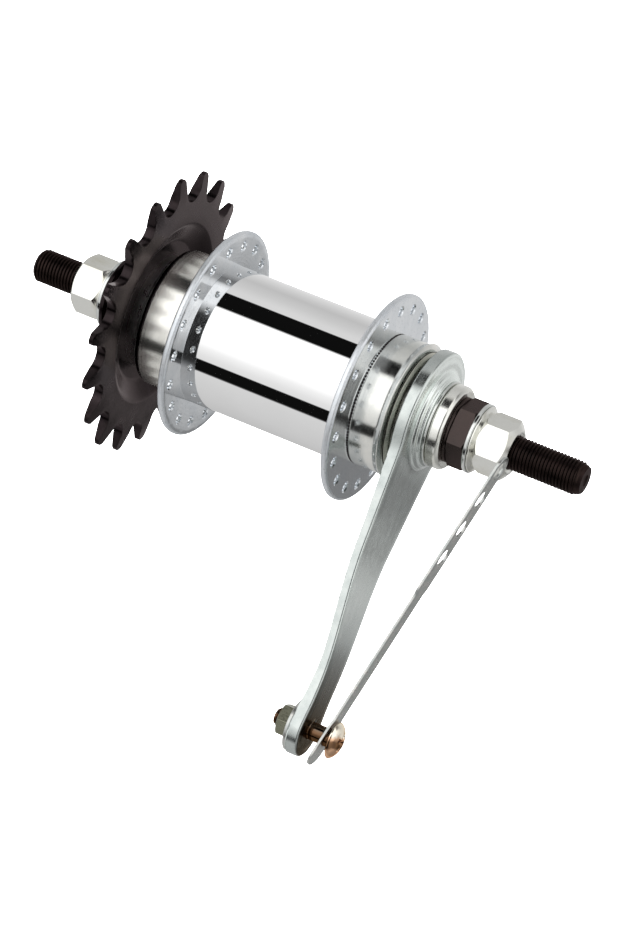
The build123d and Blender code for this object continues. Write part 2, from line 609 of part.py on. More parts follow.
# Clip screw, nut and washer at the arm's tip, on an axis parallel to the axle
tip_plane = Plane(origin=(0, screw_y, screw_z), x_dir=arm_dir, z_dir=(1, 0, 0))
washer_back = ARM_TIP_FACE_X - ARM_DEPTH - CLIP_WASHER_T
screw_end = washer_back - CLIP_NUT_H - SCREW_OVERHANG

with BuildPart() as clip_screw:
    with BuildSketch(tip_plane.offset(SCREW_HEAD_X)):
        Circle(SCREW_HEAD_R)
    extrude(amount=SCREW_HEAD_H)
    fillet(clip_screw.edges().sort_by(Axis.X)[-1], radius=SCREW_HEAD_ROUND)
    with BuildSketch(tip_plane.offset(screw_end)):
        Circle(SCREW_R)
    extrude(amount=SCREW_HEAD_X - screw_end)
    chamfer(clip_screw.edges().sort_by(Axis.X)[0], length=0.5)
save(clip_screw.part, "clip_screw")

with BuildPart() as clip_nut:
    with BuildSketch(tip_plane.offset(washer_back - CLIP_NUT_H)):
        RegularPolygon(radius=CLIP_NUT_FLATS / 2, side_count=6, major_radius=False, rotation=CLIP_NUT_TURN)
        Circle(SCREW_R + FIXED_FIT, mode=Mode.SUBTRACT)
    extrude(amount=CLIP_NUT_H)
save(clip_nut.part, "clip_nut")

with BuildPart() as clip_washer:
    with BuildSketch(tip_plane.offset(washer_back)):
        Circle(CLIP_WASHER_R)
        Circle(SCREW_R + FIXED_FIT, mode=Mode.SUBTRACT)
    extrude(amount=CLIP_WASHER_T)
save(clip_washer.part, "clip_washer")

# Clip strap: a thin bar with adjusting holes, leaning outwards from the screw it hangs on
lean = radians(STRAP_LEAN_ANGLE)
strap_y = cos(radians(STRAP_ANGLE))
strap_z = sin(radians(STRAP_ANGLE))
strap_plane = Plane(
    origin=(STRAP_X, screw_y, screw_z),
    x_dir=(sin(lean), cos(lean) * strap_y, cos(lean) * strap_z),
    z_dir=(cos(lean), -sin(lean) * strap_y, -sin(lean) * strap_z),
)
narrow_length = STRAP_LENGTH - STRAP_WIDE_LENGTH / 2
strap_hole_places = [(STRAP_LENGTH - STRAP_FIRST_HOLE - i * STRAP_HOLE_PITCH, 0) for i in range(STRAP_HOLES)]

with BuildPart() as clip_strap:
    with BuildSketch(strap_plane.offset(-STRAP_T / 2)):
        with Locations((STRAP_EYE_LENGTH / 2 - STRAP_TAIL, 0)):
            SlotOverall(STRAP_EYE_LENGTH, STRAP_WIDE)
        with Locations((narrow_length / 2, 0)):
            Rectangle(narrow_length, STRAP_NARROW)
        with Locations((STRAP_LENGTH - STRAP_WIDE_LENGTH / 2, 0)):
            SlotOverall(STRAP_WIDE_LENGTH, STRAP_WIDE)
        Circle(STRAP_EYE_R, mode=Mode.SUBTRACT)
        with Locations(*strap_hole_places):
            Circle(STRAP_HOLE_R, mode=Mode.SUBTRACT)
    extrude(amount=STRAP_T)
save(clip_strap.part, "clip_strap")
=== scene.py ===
"""Looks of a bicycle rear hub with a back-pedal (coaster) brake, made over its solid model.

Shapes are worked out in millimetres and filled into meshes in metres. The axle lies on X with the brake arm towards
+X, Z is up, and angles round the axle are counted from +Y towards +Z.
"""

import json
from functools import partial

import bmesh
import bpy
import numpy as np
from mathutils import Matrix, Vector


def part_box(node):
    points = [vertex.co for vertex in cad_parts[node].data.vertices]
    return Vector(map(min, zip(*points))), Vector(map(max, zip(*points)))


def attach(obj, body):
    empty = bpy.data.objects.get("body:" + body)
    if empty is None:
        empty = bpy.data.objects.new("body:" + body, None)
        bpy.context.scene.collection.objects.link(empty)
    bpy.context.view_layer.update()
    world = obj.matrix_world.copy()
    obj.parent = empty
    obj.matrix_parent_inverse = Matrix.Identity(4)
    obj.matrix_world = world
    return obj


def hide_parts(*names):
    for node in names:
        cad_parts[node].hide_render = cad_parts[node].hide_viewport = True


bl_info = {
    "name": "Back-pedal rear hub",
    "version": (1, 0, 0),
    "blender": (4, 5, 0),
    "location": "3D View > Sidebar > Rear hub",
    "description": "Makes the plated, threaded and pressed surfaces of a back-pedal rear hub over its solid model",
    "category": "Add Mesh",
}

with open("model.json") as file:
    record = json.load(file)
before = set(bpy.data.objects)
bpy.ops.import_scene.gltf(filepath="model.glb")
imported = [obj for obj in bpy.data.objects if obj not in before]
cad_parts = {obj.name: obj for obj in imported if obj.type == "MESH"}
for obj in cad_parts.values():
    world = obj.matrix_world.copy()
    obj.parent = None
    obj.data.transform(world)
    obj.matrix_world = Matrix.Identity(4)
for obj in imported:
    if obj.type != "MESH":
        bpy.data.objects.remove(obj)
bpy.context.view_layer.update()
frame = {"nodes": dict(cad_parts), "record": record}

MM = 0.001
TURN = 2 * np.pi
BODY = {node: body for body, nodes in frame["record"]["behaviour"]["bodies"].items() for node in nodes}
SLOT = {node: solid.data.materials[0].name for node, solid in frame["nodes"].items()}


def span(node, axis=0):
    """Lowest and highest place of a solid along an axis, in millimetres."""
    low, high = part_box(node)
    return low[axis] / MM, high[axis] / MM


AXLE_START, AXLE_END = span("axle")
BARREL_HALF = span("barrel_tube")[1]
BARREL_R = span("barrel_tube", 2)[1]
FLANGE_R = span("brake_flange", 2)[1]
FLANGE_BACK, FLANGE_FACE = span("brake_flange")
FLANGE_SEAT_R = 18.1
PRESS_FIT_R = 17.5
DRIVE_DRUM_END = span("drive_drum")[0]
BRAKE_DRUM_END = span("brake_drum")[1]
SPROCKET_R = 40.5
CLAMP_FACE = span("brake_nut_washer")[0]
NUT_FOOT, NUT_TOP = span("brake_axle_nut")
COLLAR_TOP = span("arm_collar")[1] + 0.5
LOCK_NUT_END = CLAMP_FACE + 0.6
CLAMP_BORE_R = 4.79
SCREW_CENTRE = (sum(span("clip_screw", 1)) / 2, sum(span("clip_screw", 2)) / 2)
SCREW_HEAD_X = 51.9

# The brake arm points this way from the axle. Places along it are counted from the axle's middle.
ARM_AIM = np.radians(-145.0)
ARM_HEAD_R = 19.0
ARM_SHAFT_START, ARM_WAIST, ARM_SHAFT_END, ARM_TIP_START = 24.0, 52.0, 79.0, 87.6
ARM_REACH, ARM_TIP_R = 88.6, 7.8
ARM_FACE = 42.5
CRANK_START, CRANK_END, CRANK_RISE = 38.0, 76.0, 2.6
BOSS_TOP = 44.8

# The floor lies low enough for the strap to swing right down.
STRAP_HANGS = 105.0
FLOOR_Z = span("brake_arm", 2)[0] - STRAP_HANGS


# Shapes, as grids of points

def rounded(corners, closed=True):
    """Corners (x, r, cut) of a section, each corner P cut by a parabola.

    The parabola is (1-t)^2 A + 2t(1-t) P + t^2 C, with A and C lying cut away from P towards its neighbours.
    """
    corners = np.array(corners, float)
    point, cut = corners[:, :2], corners[:, 2:3].copy()
    if not closed:
        cut[[0, -1]] = 0
    before = np.roll(point, 1, 0) - point
    after = np.roll(point, -1, 0) - point
    before /= np.linalg.norm(before, axis=1, keepdims=True)
    after /= np.linalg.norm(after, axis=1, keepdims=True)
    t = np.linspace(0, 1, 5)[None, :, None]
    start, middle, end = (point + cut * before)[:, None], point[:, None], (point + cut * after)[:, None]
    return ((1 - t) ** 2 * start + 2 * t * (1 - t) * middle + t * t * end).reshape(-1, 2)


def spun(x, r, angle, centre=(0.0, 0.0)):
    """Points at place x, radius r and angle a round a centre line: (x, cy + r cos a, cz + r sin a)."""
    x, r, angle = np.broadcast_arrays(x, r, angle)
    return np.stack([x, centre[0] + r * np.cos(angle), centre[1] + r * np.sin(angle)], -1)


def on_circle(radius, angle):
    """Flat points (r cos a, r sin a)."""
    return np.stack([radius * np.cos(angle), radius * np.sin(angle)], -1)


def to_polar(points):
    """Radius and angle of flat points."""
    return np.linalg.norm(points, axis=-1), np.arctan2(points[..., 1], points[..., 0])


def angles(count, first=0.0):
    """Evenly spaced angles of one turn, as a row."""
    return (first + np.arange(count) * TURN / count)[None]


def lathe(corners, columns=200, closed=True, centre=(0.0, 0.0)):
    """A section of (x, r, cut) corners turned about its centre line."""
    section = rounded(corners, closed)
    return spun(section[:, :1], section[:, 1:], angles(columns), centre), closed, True


def ring(start, end, inner, outer, cuts):
    """A washer's section as (x, r, cut) corners: bore, rim, rim, bore."""
    return list(zip((start, start, end, end), (inner, outer, outer, inner), cuts))


def arc(x, r, size, start, end):
    """Section corners along a ball race: x + size cos a, r + size sin a, from a start to an end angle in degrees."""
    a = np.radians(np.linspace(start, end, 12))
    return [(x + size * c, r + size * s, 0.0) for c, s in zip(np.cos(a), np.sin(a))]


def thread(start, end, radius, pitch, depth, cone, fade, columns, centre=(0.0, 0.0)):
    """A helical thread: column k of the strip lies at x = start + pitch (k / columns + f), angle 360 k / columns.

    f runs over one pitch from root to crest to root, and the radius is the lesser of the thread's and the end cone's.
    The cone is (x, radius there, steepness). fade is the place where the thread runs out to plain rod.
    """
    f = np.array([0.0, 0.13, 0.43, 0.57, 0.87, 1.0])
    deep = depth * np.array([1.0, 1.0, 0.0, 0.0, 1.0, 1.0])
    k = np.arange(-columns, int((end - start) / pitch * columns) + columns + 1)
    x = np.clip(start + pitch * (k[:, None] / columns + f[None]), start, end)
    r = radius - deep[None] * np.clip(np.abs(x - fade) / (2 * pitch), 0, 1)
    cone_x, cone_r, steep = cone
    r = np.minimum(r, cone_r + steep * np.abs(x - cone_x))
    return spun(x, r, k[:, None] * TURN / columns, centre), False, False


def corner_r(flats):
    """Radius of a hexagon's corners, from the distance across its flats."""
    return flats / 2 / np.cos(TURN / 12)


def hexagon_r(angle, flats, corner):
    """Radius of a hexagon's outline at an angle: half its flats over cos of the angle from the flat's middle."""
    off = np.mod(angle - corner, TURN / 6) - TURN / 12
    return flats / 2 / np.cos(off)


def hexagon_angles(corner):
    """Angles round a hexagon, 16 to a side with one on each corner, closer together near the corners."""
    t = np.linspace(0, 1, 16, endpoint=False)
    eased = t - 0.55 * np.sin(TURN * t) / TURN
    return (corner + (np.arange(6)[:, None] + eased[None]).reshape(-1) * TURN / 6)[None]


def cone_cut(x, inward, end_r, length, outline, full):
    """Where a turned cone meets a hexagonal bar: rows at the end and on the break.

    The cone has radius end_r at place x and full at x + inward * length. Where the outline is outside it, the break
    moves in by length (outline - end_r) / (full - end_r).
    """
    drop = np.clip((outline - end_r) / (full - end_r), 0, None) * length
    end = (np.full_like(outline, x), np.minimum(outline, end_r))
    return end, (x + inward * drop, outline)


def nut_grid(x0, x1, flats, corner, bore, cone0, cone1, foot=(), centre=(0.0, 0.0)):
    """A hexagon nut as one closed section at each angle: bore, end, cone, flat, cone, end.

    cone0 and cone1 are (end radius, length) at x0 and x1, and foot has turned rows (x, r) that come before x0.
    """
    angle = hexagon_angles(corner)
    outline = hexagon_r(angle, flats, corner)
    full = corner_r(flats)
    side = np.sign(x1 - x0)
    first = foot[0][0] if foot else x0
    turned = [(first + side * 0.5, bore), (first, bore + 0.5), *foot]
    rows = [(np.full_like(outline, x), np.full_like(outline, r)) for x, r in turned]
    rows += cone_cut(x0, side, *cone0, outline, full)
    rows += reversed(cone_cut(x1, -side, *cone1, outline, full))
    turned = [(x1, bore + 0.5), (x1 - side * 0.5, bore)]
    rows += [(np.full_like(outline, x), np.full_like(outline, r)) for x, r in turned]
    x, r = (np.concatenate(part) for part in zip(*rows))
    return spun(x, r, angle, centre), True, True


def blend_rows(first, last, weights):
    """Rows between two rows of points: (1-w) first + w last."""
    w = np.asarray(weights, float)[:, None, None]
    return (1 - w) * first[None] + w * last[None]


def ring_about(points, centre, radius):
    """Points of a circle at the same angles, seen from its centre, as the points of a loop round it."""
    away = points - centre
    return centre + radius * away / np.linalg.norm(away, axis=1, keepdims=True)


# Turning shapes into pieces

def grid_faces(rows, cols, wrap_rows, wrap_cols):
    """Corners of a grid's quads: (i, j), (i+1, j), (i+1, j+1), (i, j+1), counted row by row."""
    i, j = np.meshgrid(np.arange(rows - (not wrap_rows)), np.arange(cols - (not wrap_cols)), indexing="ij")
    down, right = (i + 1) % rows, (j + 1) % cols
    return np.stack([i * cols + j, down * cols + j, down * cols + right, i * cols + right], -1).reshape(-1, 4)


def piece(name, patches, nodes, look, sharp=30.0, wall=0.0, bevel=0.0, open_towards=None):
    """Joins patches of points (millimetres) into one piece that stands for the nodes and rides on their body.

    A patch is (grid of points, whether its last row meets its first, the same of its columns).

    wall gives an open skin its thickness, inwards, away from the side that open_towards points to. bevel rounds
    every edge sharper than the sharp angle.
    """
    points, faces, start = [], [], 0
    for grid, wrap_rows, wrap_cols in patches:
        rows, cols = grid.shape[:2]
        points.append(grid.reshape(-1, 3))
        faces.append(start + grid_faces(rows, cols, wrap_rows, wrap_cols))
        start += rows * cols
    points, faces = np.concatenate(points) * MM, np.concatenate(faces)
    mesh = bpy.data.meshes.new(name)
    mesh.vertices.add(len(points))
    mesh.vertices.foreach_set("co", points.astype(np.float32).reshape(-1))
    mesh.loops.add(faces.size)
    mesh.loops.foreach_set("vertex_index", faces.astype(np.int32).reshape(-1))
    mesh.polygons.add(len(faces))
    mesh.polygons.foreach_set("loop_start", np.arange(0, faces.size, 4, dtype=np.int32))
    mesh.update(calc_edges=True)
    mesh.validate()

    work = bmesh.new()
    work.from_mesh(mesh)
    bmesh.ops.remove_doubles(work, verts=work.verts, dist=0.001 * MM)
    bmesh.ops.dissolve_degenerate(work, edges=work.edges, dist=0.0005 * MM)
    bmesh.ops.recalc_face_normals(work, faces=work.faces)
    if open_towards is not None:
        facing = sum((face.normal * face.calc_area() for face in work.faces), Vector())
        if facing.dot(Vector(open_towards)) < 0:
            bmesh.ops.reverse_faces(work, faces=work.faces)
    work.to_mesh(mesh)
    work.free()
    mesh.shade_smooth()
    if not bevel:
        mesh.set_sharp_from_angle(angle=np.radians(sharp))

    made = bpy.data.objects.new(name, mesh)
    bpy.context.scene.collection.objects.link(made)
    mesh.materials.append(look)
    if wall:
        solid = made.modifiers.new("Sheet thickness", "SOLIDIFY")
        solid.thickness = wall * MM
        solid.offset = -1.0
        solid.use_even_offset = True
    if bevel:
        edges = made.modifiers.new("Broken edges", "BEVEL")
        edges.width = bevel * MM
        edges.segments = 2
        edges.limit_method = "ANGLE"
        edges.angle_limit = np.radians(sharp)
        edges.use_clamp_overlap = True
    flat = made.modifiers.new("Even shading", "WEIGHTED_NORMAL")
    flat.keep_sharp = True
    flat.weight = 50 if wall else 80
    for node in nodes:
        if node not in BODY:
            raise RuntimeError(f"The solid model has no node {node}")
    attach(made, BODY[nodes[0]])
    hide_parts(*nodes)
    return made


def turned_piece(name, node, look, section, columns=200, centre=(0.0, 0.0)):
    """A piece turned from one closed section, which stands for one solid."""
    piece(name, [lathe(section, columns, centre=centre)], [node], finish(look))


def dress(node, look):
    """Gives a solid that stays as it is a finish in place of the plain one."""
    for slot in frame["nodes"][node].material_slots:
        slot.material = look


# Finishes

def put(socket, value):
    """Links an output to a socket, or sets the socket's own value."""
    if isinstance(value, bpy.types.NodeSocket):
        socket.id_data.links.new(value, socket)
    else:
        socket.default_value = value


def add_node(tree, kind, inputs=None, **settings):
    """A node with its settings, and its inputs by name or number, each a value or another node's output."""
    made = tree.nodes.new("ShaderNode" + kind)
    for name, value in settings.items():
        setattr(made, name, value)
    for name, value in (inputs or {}).items():
        put(made.inputs[name], value)
    return made


def shaded(colour, share):
    """A colour made darker or lighter by a share, at most white."""
    return [min(1.0, c * share) for c in colour]


class Finish:
    """A finish in the making: a principled shader, and short ways to add the marks that this hub's metals share.

    Every mark reads Object coordinates, which are metres from the middle of the hub.
    """

    def __init__(self, name):
        self.material = bpy.data.materials.new(name)
        self.material.use_nodes = True
        self.shader = self.material.node_tree.nodes["Principled BSDF"]
        self.add = partial(add_node, self.material.node_tree)
        self.place = self.add("TexCoord").outputs["Object"]

    def math(self, kind, a, b=0.0):
        """One step of arithmetic on numbers that differ over the surface."""
        return self.add("Math", {0: a, 1: b}, operation=kind).outputs[0]

    def plus(self, a, b):
        """The sum of two numbers."""
        return self.math("ADD", a, b)

    def times(self, a, b):
        """The product of two numbers."""
        return self.math("MULTIPLY", a, b)

    def parts(self):
        """X, Y and Z of the place."""
        return self.add("SeparateXYZ", {0: self.place}).outputs

    def stretched(self, x, y, z, turn=0.0):
        """The place on the piece, turned about the axle by an angle and scaled along each axis."""
        turned = self.add("VectorRotate", {"Vector": self.place, "Angle": turn}, rotation_type="X_AXIS")
        return self.add("VectorMath", {0: turned.outputs[0], 1: (x, y, z)}, operation="MULTIPLY").outputs[0]

    def from_axle(self):
        """How far out from the axle's middle line the place is."""
        part = self.parts()
        return self.math("SQRT", self.plus(self.times(part["Y"], part["Y"]), self.times(part["Z"], part["Z"])))

    def turned(self, drift):
        """The place as a lathe sees it: along the axle, out from it, and only a little round it."""
        part = self.parts()
        round_it = self.times(self.plus(part["Y"], self.times(part["Z"], 0.6)), drift)
        return self.add("CombineXYZ", {0: part["X"], 1: self.from_axle(), 2: round_it}).outputs[0]

    def noise(self, place, scale, detail=3.0, rough=0.55, low=0.32, high=0.68):
        """Noise of features 1 / scale metres across, from 0 to 1."""
        made = self.add("TexNoise", {"Vector": place, "Scale": scale, "Detail": detail, "Roughness": rough})
        return self.spread(made.outputs[0], 0.0, 1.0, low, high)

    def spread(self, value, low, high, from_low=0.0, from_high=1.0):
        """Carries a range of numbers over to another, and stops at its ends."""
        return self.add("MapRange", {0: value, 1: from_low, 2: from_high, 3: low, 4: high}).outputs[0]

    def between(self, value, low, high, start, end):
        """A number that goes from low to high as a length goes from start to end, both in millimetres."""
        return self.spread(value, low, high, start * MM, end * MM)

    def tint(self, factor, first, second):
        """A colour between two colours."""
        made = self.add("Mix", {0: factor}, data_type="RGBA")
        for socket, colour in zip((6, 7), (first, second)):
            put(made.inputs[socket], colour if isinstance(colour, bpy.types.NodeSocket) else (*colour, 1.0))
        return made.outputs[2]

    def bump(self, height, depth, strength, under=None):
        """The shading of a relief so many millimetres deep, over another relief."""
        inputs = {"Height": height, "Strength": strength, "Distance": depth * MM}
        if under is not None:
            inputs["Normal"] = under
        return self.add("Bump", inputs).outputs[0]

    def done(self, colour, roughness, normal=None, metallic=1.0, **others):
        """Sets the shader and gives the material."""
        inputs = {"Base Color": colour, "Roughness": roughness, "Metallic": metallic}
        inputs.update({name.replace("_", " "): value for name, value in others.items()})
        if normal is not None:
            inputs["Normal"] = normal
        for name, value in inputs.items():
            put(self.shader.inputs[name], value)
        return self.material


def chrome(colour):
    """Mirror chrome on the barrel: nearly no marks, a faint haze in patches."""
    f = Finish("Mirror chrome")
    haze = f.noise(f.place, 70, 4)
    fine = f.noise(f.turned(0.1), 900, 2)
    rough = f.plus(f.spread(haze, 0.015, 0.035), f.spread(fine, 0.0, 0.01))
    return f.done(f.tint(haze, colour, shaded(colour, 0.97)), rough)


def bright_zinc(colour, stain):
    """Bright zinc on the stamped flanges: cloudy blue-grey, with fine pits, marks of the press and a dull rim."""
    f = Finish("Bright zinc")
    cloud = f.noise(f.place, 160, 4, 0.6)
    speck = f.noise(f.place, 1500, 2, 0.5, 0.60, 0.72)
    rub = f.noise(f.turned(0.25), 1400)
    shade = f.tint(f.spread(cloud, 0.0, 0.7), colour, stain)
    shade = f.tint(f.spread(speck, 0.0, 0.35), shade, shaded(stain, 0.45))
    rim = f.between(f.from_axle(), 0.0, 0.34, 28.6, 28.9)
    rough = f.plus(f.plus(f.spread(cloud, 0.05, 0.12), f.spread(rub, 0.0, 0.05)), rim)
    return f.done(shade, rough, f.bump(rub, 0.002, 0.5, f.bump(cloud, 0.03, 0.15)))


def turned_zinc(name, colour, stain, low, high, drawn):
    """Zinc plate over a turned surface: rings left by the tool, and cloudy patches.

    The rings draw every reflection out along the axle, and drawn says how strongly.
    """
    f = Finish(name)
    rings = f.noise(f.turned(0.03), 2200, 3, 0.6)
    wide = f.noise(f.turned(0.15), 320)
    cloud = f.noise(f.place, 130, 4, 0.6)
    shade = f.tint(f.spread(cloud, 0.0, 0.6), colour, stain)
    shade = f.tint(f.spread(wide, 0.0, 0.2), shade, shaded(stain, 0.8))
    rough = f.plus(f.spread(cloud, low, high), f.spread(rings, 0.0, 0.05))
    along = f.add("CombineXYZ", {0: 1.0, 1: 0.0, 2: 0.0}).outputs[0]
    return f.done(shade, rough, f.bump(rings, 0.004, 0.5), Tangent=along, Anisotropic=drawn)


def arm_zinc(colour, stain):
    """Satin zinc on the pressed brake arm: rolled lengthwise, mottled, with scratches along the arm.

    Its flat face, found from the place's height over the crank, is painted lighter round the boss and on the upper
    shaft (painted light), darker between them (a painted shadow of the boss), and brown-black towards the tip,
    where its mirror is dimmed too (a painted dark reflection).
    """
    f = Finish("Satin zinc")
    scratch = f.noise(f.stretched(0.35, 0.06, 1.0, -ARM_AIM), 1700, 3, 0.65, 0.35, 0.75)
    mottle = f.noise(f.place, 330, 4, 0.65)
    cloud = f.noise(f.place, 70)
    part = f.parts()
    along = f.plus(f.times(part["Y"], float(np.cos(ARM_AIM))), f.times(part["Z"], float(np.sin(ARM_AIM))))
    crank = f.add("MapRange", {0: along, 1: CRANK_START * MM, 2: CRANK_END * MM, 3: 0.0, 4: CRANK_RISE * MM},
                  interpolation_type="SMOOTHSTEP").outputs[0]
    face = f.between(f.math("SUBTRACT", part["X"], crank), 0.0, 1.0, ARM_FACE - 0.4, ARM_FACE - 0.1)
    # Masks of painted light and shade on the face: lighter round the boss and on the upper shaft, a painted shadow of
    # the boss between them, and a painted dark reflection towards the tip.
    shaft = f.times(f.between(along, 0.0, 0.6, 26, 36), f.between(along, 1.0, 0.0, 50, 68))
    painted_light_mask = f.plus(f.between(along, 0.85, 0.0, -4, 14), shaft)
    painted_shadow_mask = f.times(f.between(along, 0.0, 0.5, 13, 18), f.between(along, 1.0, 0.0, 20, 32))
    painted_dark_tip_mask = f.times(f.between(along, 0.0, 0.95, 64, 86), face)

    shade = f.tint(f.spread(mottle, 0.0, 0.6), colour, stain)
    shade = f.tint(f.spread(cloud, 0.0, 0.3), shade, shaded(stain, 0.85))
    # Painted light, painted shadow and painted dark reflection: lighter and darker copies of the zinc.
    shade = f.tint(f.times(painted_light_mask, face), shade, shaded(colour, 1.65))
    shade = f.tint(f.times(painted_shadow_mask, face), shade, shaded(colour, 0.45))
    shade = f.tint(f.times(painted_dark_tip_mask, f.spread(mottle, 0.8, 1.0)), shade, (0.035, 0.028, 0.02))
    # The mirror is dimmed towards the tip, as part of the painted dark reflection.
    glare = f.tint(painted_dark_tip_mask, (1.0, 1.0, 1.0), (0.72, 0.62, 0.52))
    rough = f.plus(f.spread(mottle, 0.16, 0.26), f.spread(scratch, 0.0, 0.08))
    relief = f.bump(f.times(scratch, face), 0.006, 0.5, f.bump(mottle, 0.012, 0.3))
    return f.done(shade, rough, relief, Specular_Tint=glare)


def sheet_zinc(name, colour, stain, low, high):
    """Zinc on small stamped and rolled sheet parts."""
    f = Finish(name)
    mottle = f.noise(f.place, 420, 4, 0.65)
    grain = f.noise(f.stretched(0.25, 0.25, 1.0, 0.8), 1600)
    rough = f.plus(f.spread(mottle, low, high), f.spread(grain, 0.0, 0.08))
    return f.done(f.tint(f.spread(mottle, 0.0, 0.8), colour, stain), rough, f.bump(grain, 0.008, 0.5))


def nut_plate(colour, stain):
    """Bright plate on the forged nuts and collar: smooth flats with shallow dents and a warm stain."""
    f = Finish("Nut plate")
    dent = f.noise(f.place, 260, 3, 0.5)
    stained = f.noise(f.place, 120, 4, 0.6, 0.45, 0.75)
    fine = f.noise(f.place, 1500, 2)
    rough = f.plus(f.spread(dent, 0.13, 0.22), f.spread(fine, 0.0, 0.06))
    return f.done(f.tint(f.spread(stained, 0.0, 0.75), colour, stain), rough, f.bump(dent, 0.03, 0.3))


def blackened(name, colour, worn, low, high, edge, inner=None):
    """Black oxide on steel: a dark coat with a brown cast, slightly oily, rubbed lighter in specks.

    edge is how much of the glare at a flat angle the dull coat lets through, and inner the same close to the axle.
    """
    f = Finish(name)
    # Black oxide on steel: a dark coat with a brown cast, slightly oily, worn lighter in specks.
    cast = f.noise(f.place, 150, 4, 0.6)
    rub = f.noise(f.place, 1100, 4, 0.7, 0.62, 0.80)
    fine = f.noise(f.place, 2300, 2)
    shade = f.tint(f.spread(cast, 0.0, 0.8), colour, worn)
    shade = f.tint(f.spread(rub, 0.0, 0.5), shade, shaded(worn, 2.2))
    rough = f.plus(f.spread(cast, low, high), f.spread(fine, 0.0, 0.06))
    cool = (1.0, 0.93, 0.93)
    glare = f.tint(f.between(f.from_axle(), 0.0, 1.0, 24, 29), shaded(cool, edge if inner is None else inner),
                   shaded(cool, edge))
    return f.done(shade, rough, f.bump(fine, 0.01, 0.35), Specular_Tint=glare)


def copper_plate(colour, stain):
    """Yellow-copper plate on the clip screw, darker brown where it has been handled.

    A painted highlight lies high on the head, a painted dark reflection below it, and painted shade darkens the shank
    under the head; the mirror is dimmed in both dark places.
    """
    f = Finish("Copper plate")
    stained = f.noise(f.place, 500, 4, 0.65, 0.50, 0.72)
    fine = f.noise(f.place, 2500, 2)
    part = f.parts()
    # How far up the head a place lies, which places the painted highlight and the painted dark reflection.
    up_head = f.plus(f.times(f.plus(part["Y"], -SCREW_CENTRE[0] * MM), 0.69),
                     f.times(f.plus(part["Z"], -SCREW_CENTRE[1] * MM), 0.72))
    up_head = f.plus(up_head, f.spread(f.noise(f.place, 300, 2), -0.5 * MM, 0.5 * MM))
    painted_dark_stripe = f.times(f.between(up_head, 0.0, 0.9, -2.2, -1.4), f.between(up_head, 1.0, 0.0, 0.1, 0.9))
    # Painted shade on the shank under the head.
    shank = f.between(part["X"], 1.0, 0.0, SCREW_HEAD_X - 0.1, SCREW_HEAD_X + 0.3)

    # Painted highlight, painted dark reflection, real stain in patches, then painted shade on the shank.
    shade = f.tint(f.between(up_head, 0.0, 1.0, 1.0, 1.8), colour, (1.0, 0.94, 0.80))
    shade = f.tint(painted_dark_stripe, shade, shaded(stain, 0.3))
    shade = f.tint(f.spread(stained, 0.0, 0.5), shade, stain)
    shade = f.tint(f.times(shank, 0.9), shade, shaded(stain, 0.2))
    # The mirror is dimmed in the painted shade of the shank and in the painted dark reflection.
    glare = f.tint(shank, (0.92, 0.78, 0.64), (0.56, 0.42, 0.34))
    glare = f.tint(painted_dark_stripe, glare, (0.55, 0.42, 0.34))
    rough = f.plus(f.spread(stained, 0.06, 0.16), f.spread(fine, 0.0, 0.04))
    return f.done(shade, rough, f.bump(stained, 0.006, 0.3), Specular_Tint=glare)


def ground_steel(name, colour, low, high):
    """Hardened and ground steel of the parts inside: fine rings and a film of grease in patches."""
    f = Finish(name)
    rings = f.noise(f.turned(0.05), 2600, 2)
    film = f.noise(f.place, 220)
    rough = f.plus(f.spread(film, low, high), f.spread(rings, 0.0, 0.07))
    return f.done(f.tint(film, colour, shaded(colour, 0.72)), rough, f.bump(rings, 0.004, 0.5))


def pale_floor():
    """Pale studio floor: even white paint with the faintest tooth."""
    f = Finish("Pale floor")
    shade = f.tint(f.noise(f.place, 40), (0.93, 0.93, 0.93), (0.96, 0.96, 0.96))
    return f.done(shade, 0.9, metallic=0.0, Specular_IOR_Level=0.0)


MADE_FINISHES = {}


def finish(name):
    """The finish of a name, made once from the panel's colours. Most names are the record's material slots."""
    c = bpy.context.scene.hub_colours
    if name not in MADE_FINISHES:
        makers = {
            "chrome_barrel": (chrome, c.chrome),
            "zinc_flange": (bright_zinc, c.flange, c.flange_stain),
            "drum_steel": (turned_zinc, "Turned zinc", c.drum, c.drum_stain, 0.17, 0.23, 0.6),
            "polished_drum": (turned_zinc, "Polished zinc", c.brake_drum, c.arm, 0.115, 0.15, 0.3),
            "washer_steel": (turned_zinc, "Washer zinc", c.washer, c.arm, 0.12, 0.2, 0.5),
            "arm_zinc": (arm_zinc, c.arm, c.arm_stain),
            "strap_zinc": (sheet_zinc, "Strap zinc", c.strap, c.arm_stain, 0.22, 0.34),
            "dull_cover": (sheet_zinc, "Dull cover zinc", c.cover, c.cover, 0.22, 0.32),
            "clip_nut_steel": (sheet_zinc, "Clip nut zinc", c.clip_nut, c.clip_nut, 0.2, 0.3),
            "nut_plate": (nut_plate, c.nut, c.nut_stain),
            "axle_black": (blackened, "Axle black", c.axle, c.axle_worn, 0.30, 0.42, 0.7),
            "lock_nut_black": (blackened, "Lock nut black", c.lock_nut, c.lock_nut_worn, 0.22, 0.32, 0.7),
            "sprocket_black": (blackened, "Sprocket black", c.sprocket, c.sprocket_worn, 0.15, 0.24, 1.0, 0.84),
            "copper_screw": (copper_plate, c.screw, c.screw_stain_and_shade),
            "inner_steel": (ground_steel, "Ground steel", (0.46, 0.46, 0.45), 0.2, 0.32),
            "ball_steel": (ground_steel, "Polished balls", (0.72, 0.72, 0.73), 0.05, 0.1),
            "cage_steel": (ground_steel, "Cage steel", (0.40, 0.41, 0.42), 0.3, 0.4),
            "shoe_steel": (ground_steel, "Shoe steel", (0.42, 0.38, 0.33), 0.3, 0.45),
        }
        if name not in makers:
            raise RuntimeError(f"No finish has the name {name}")
        maker, *given = makers[name]
        MADE_FINISHES[name] = maker(*given)
    return MADE_FINISHES[name]


# The pieces, one function each

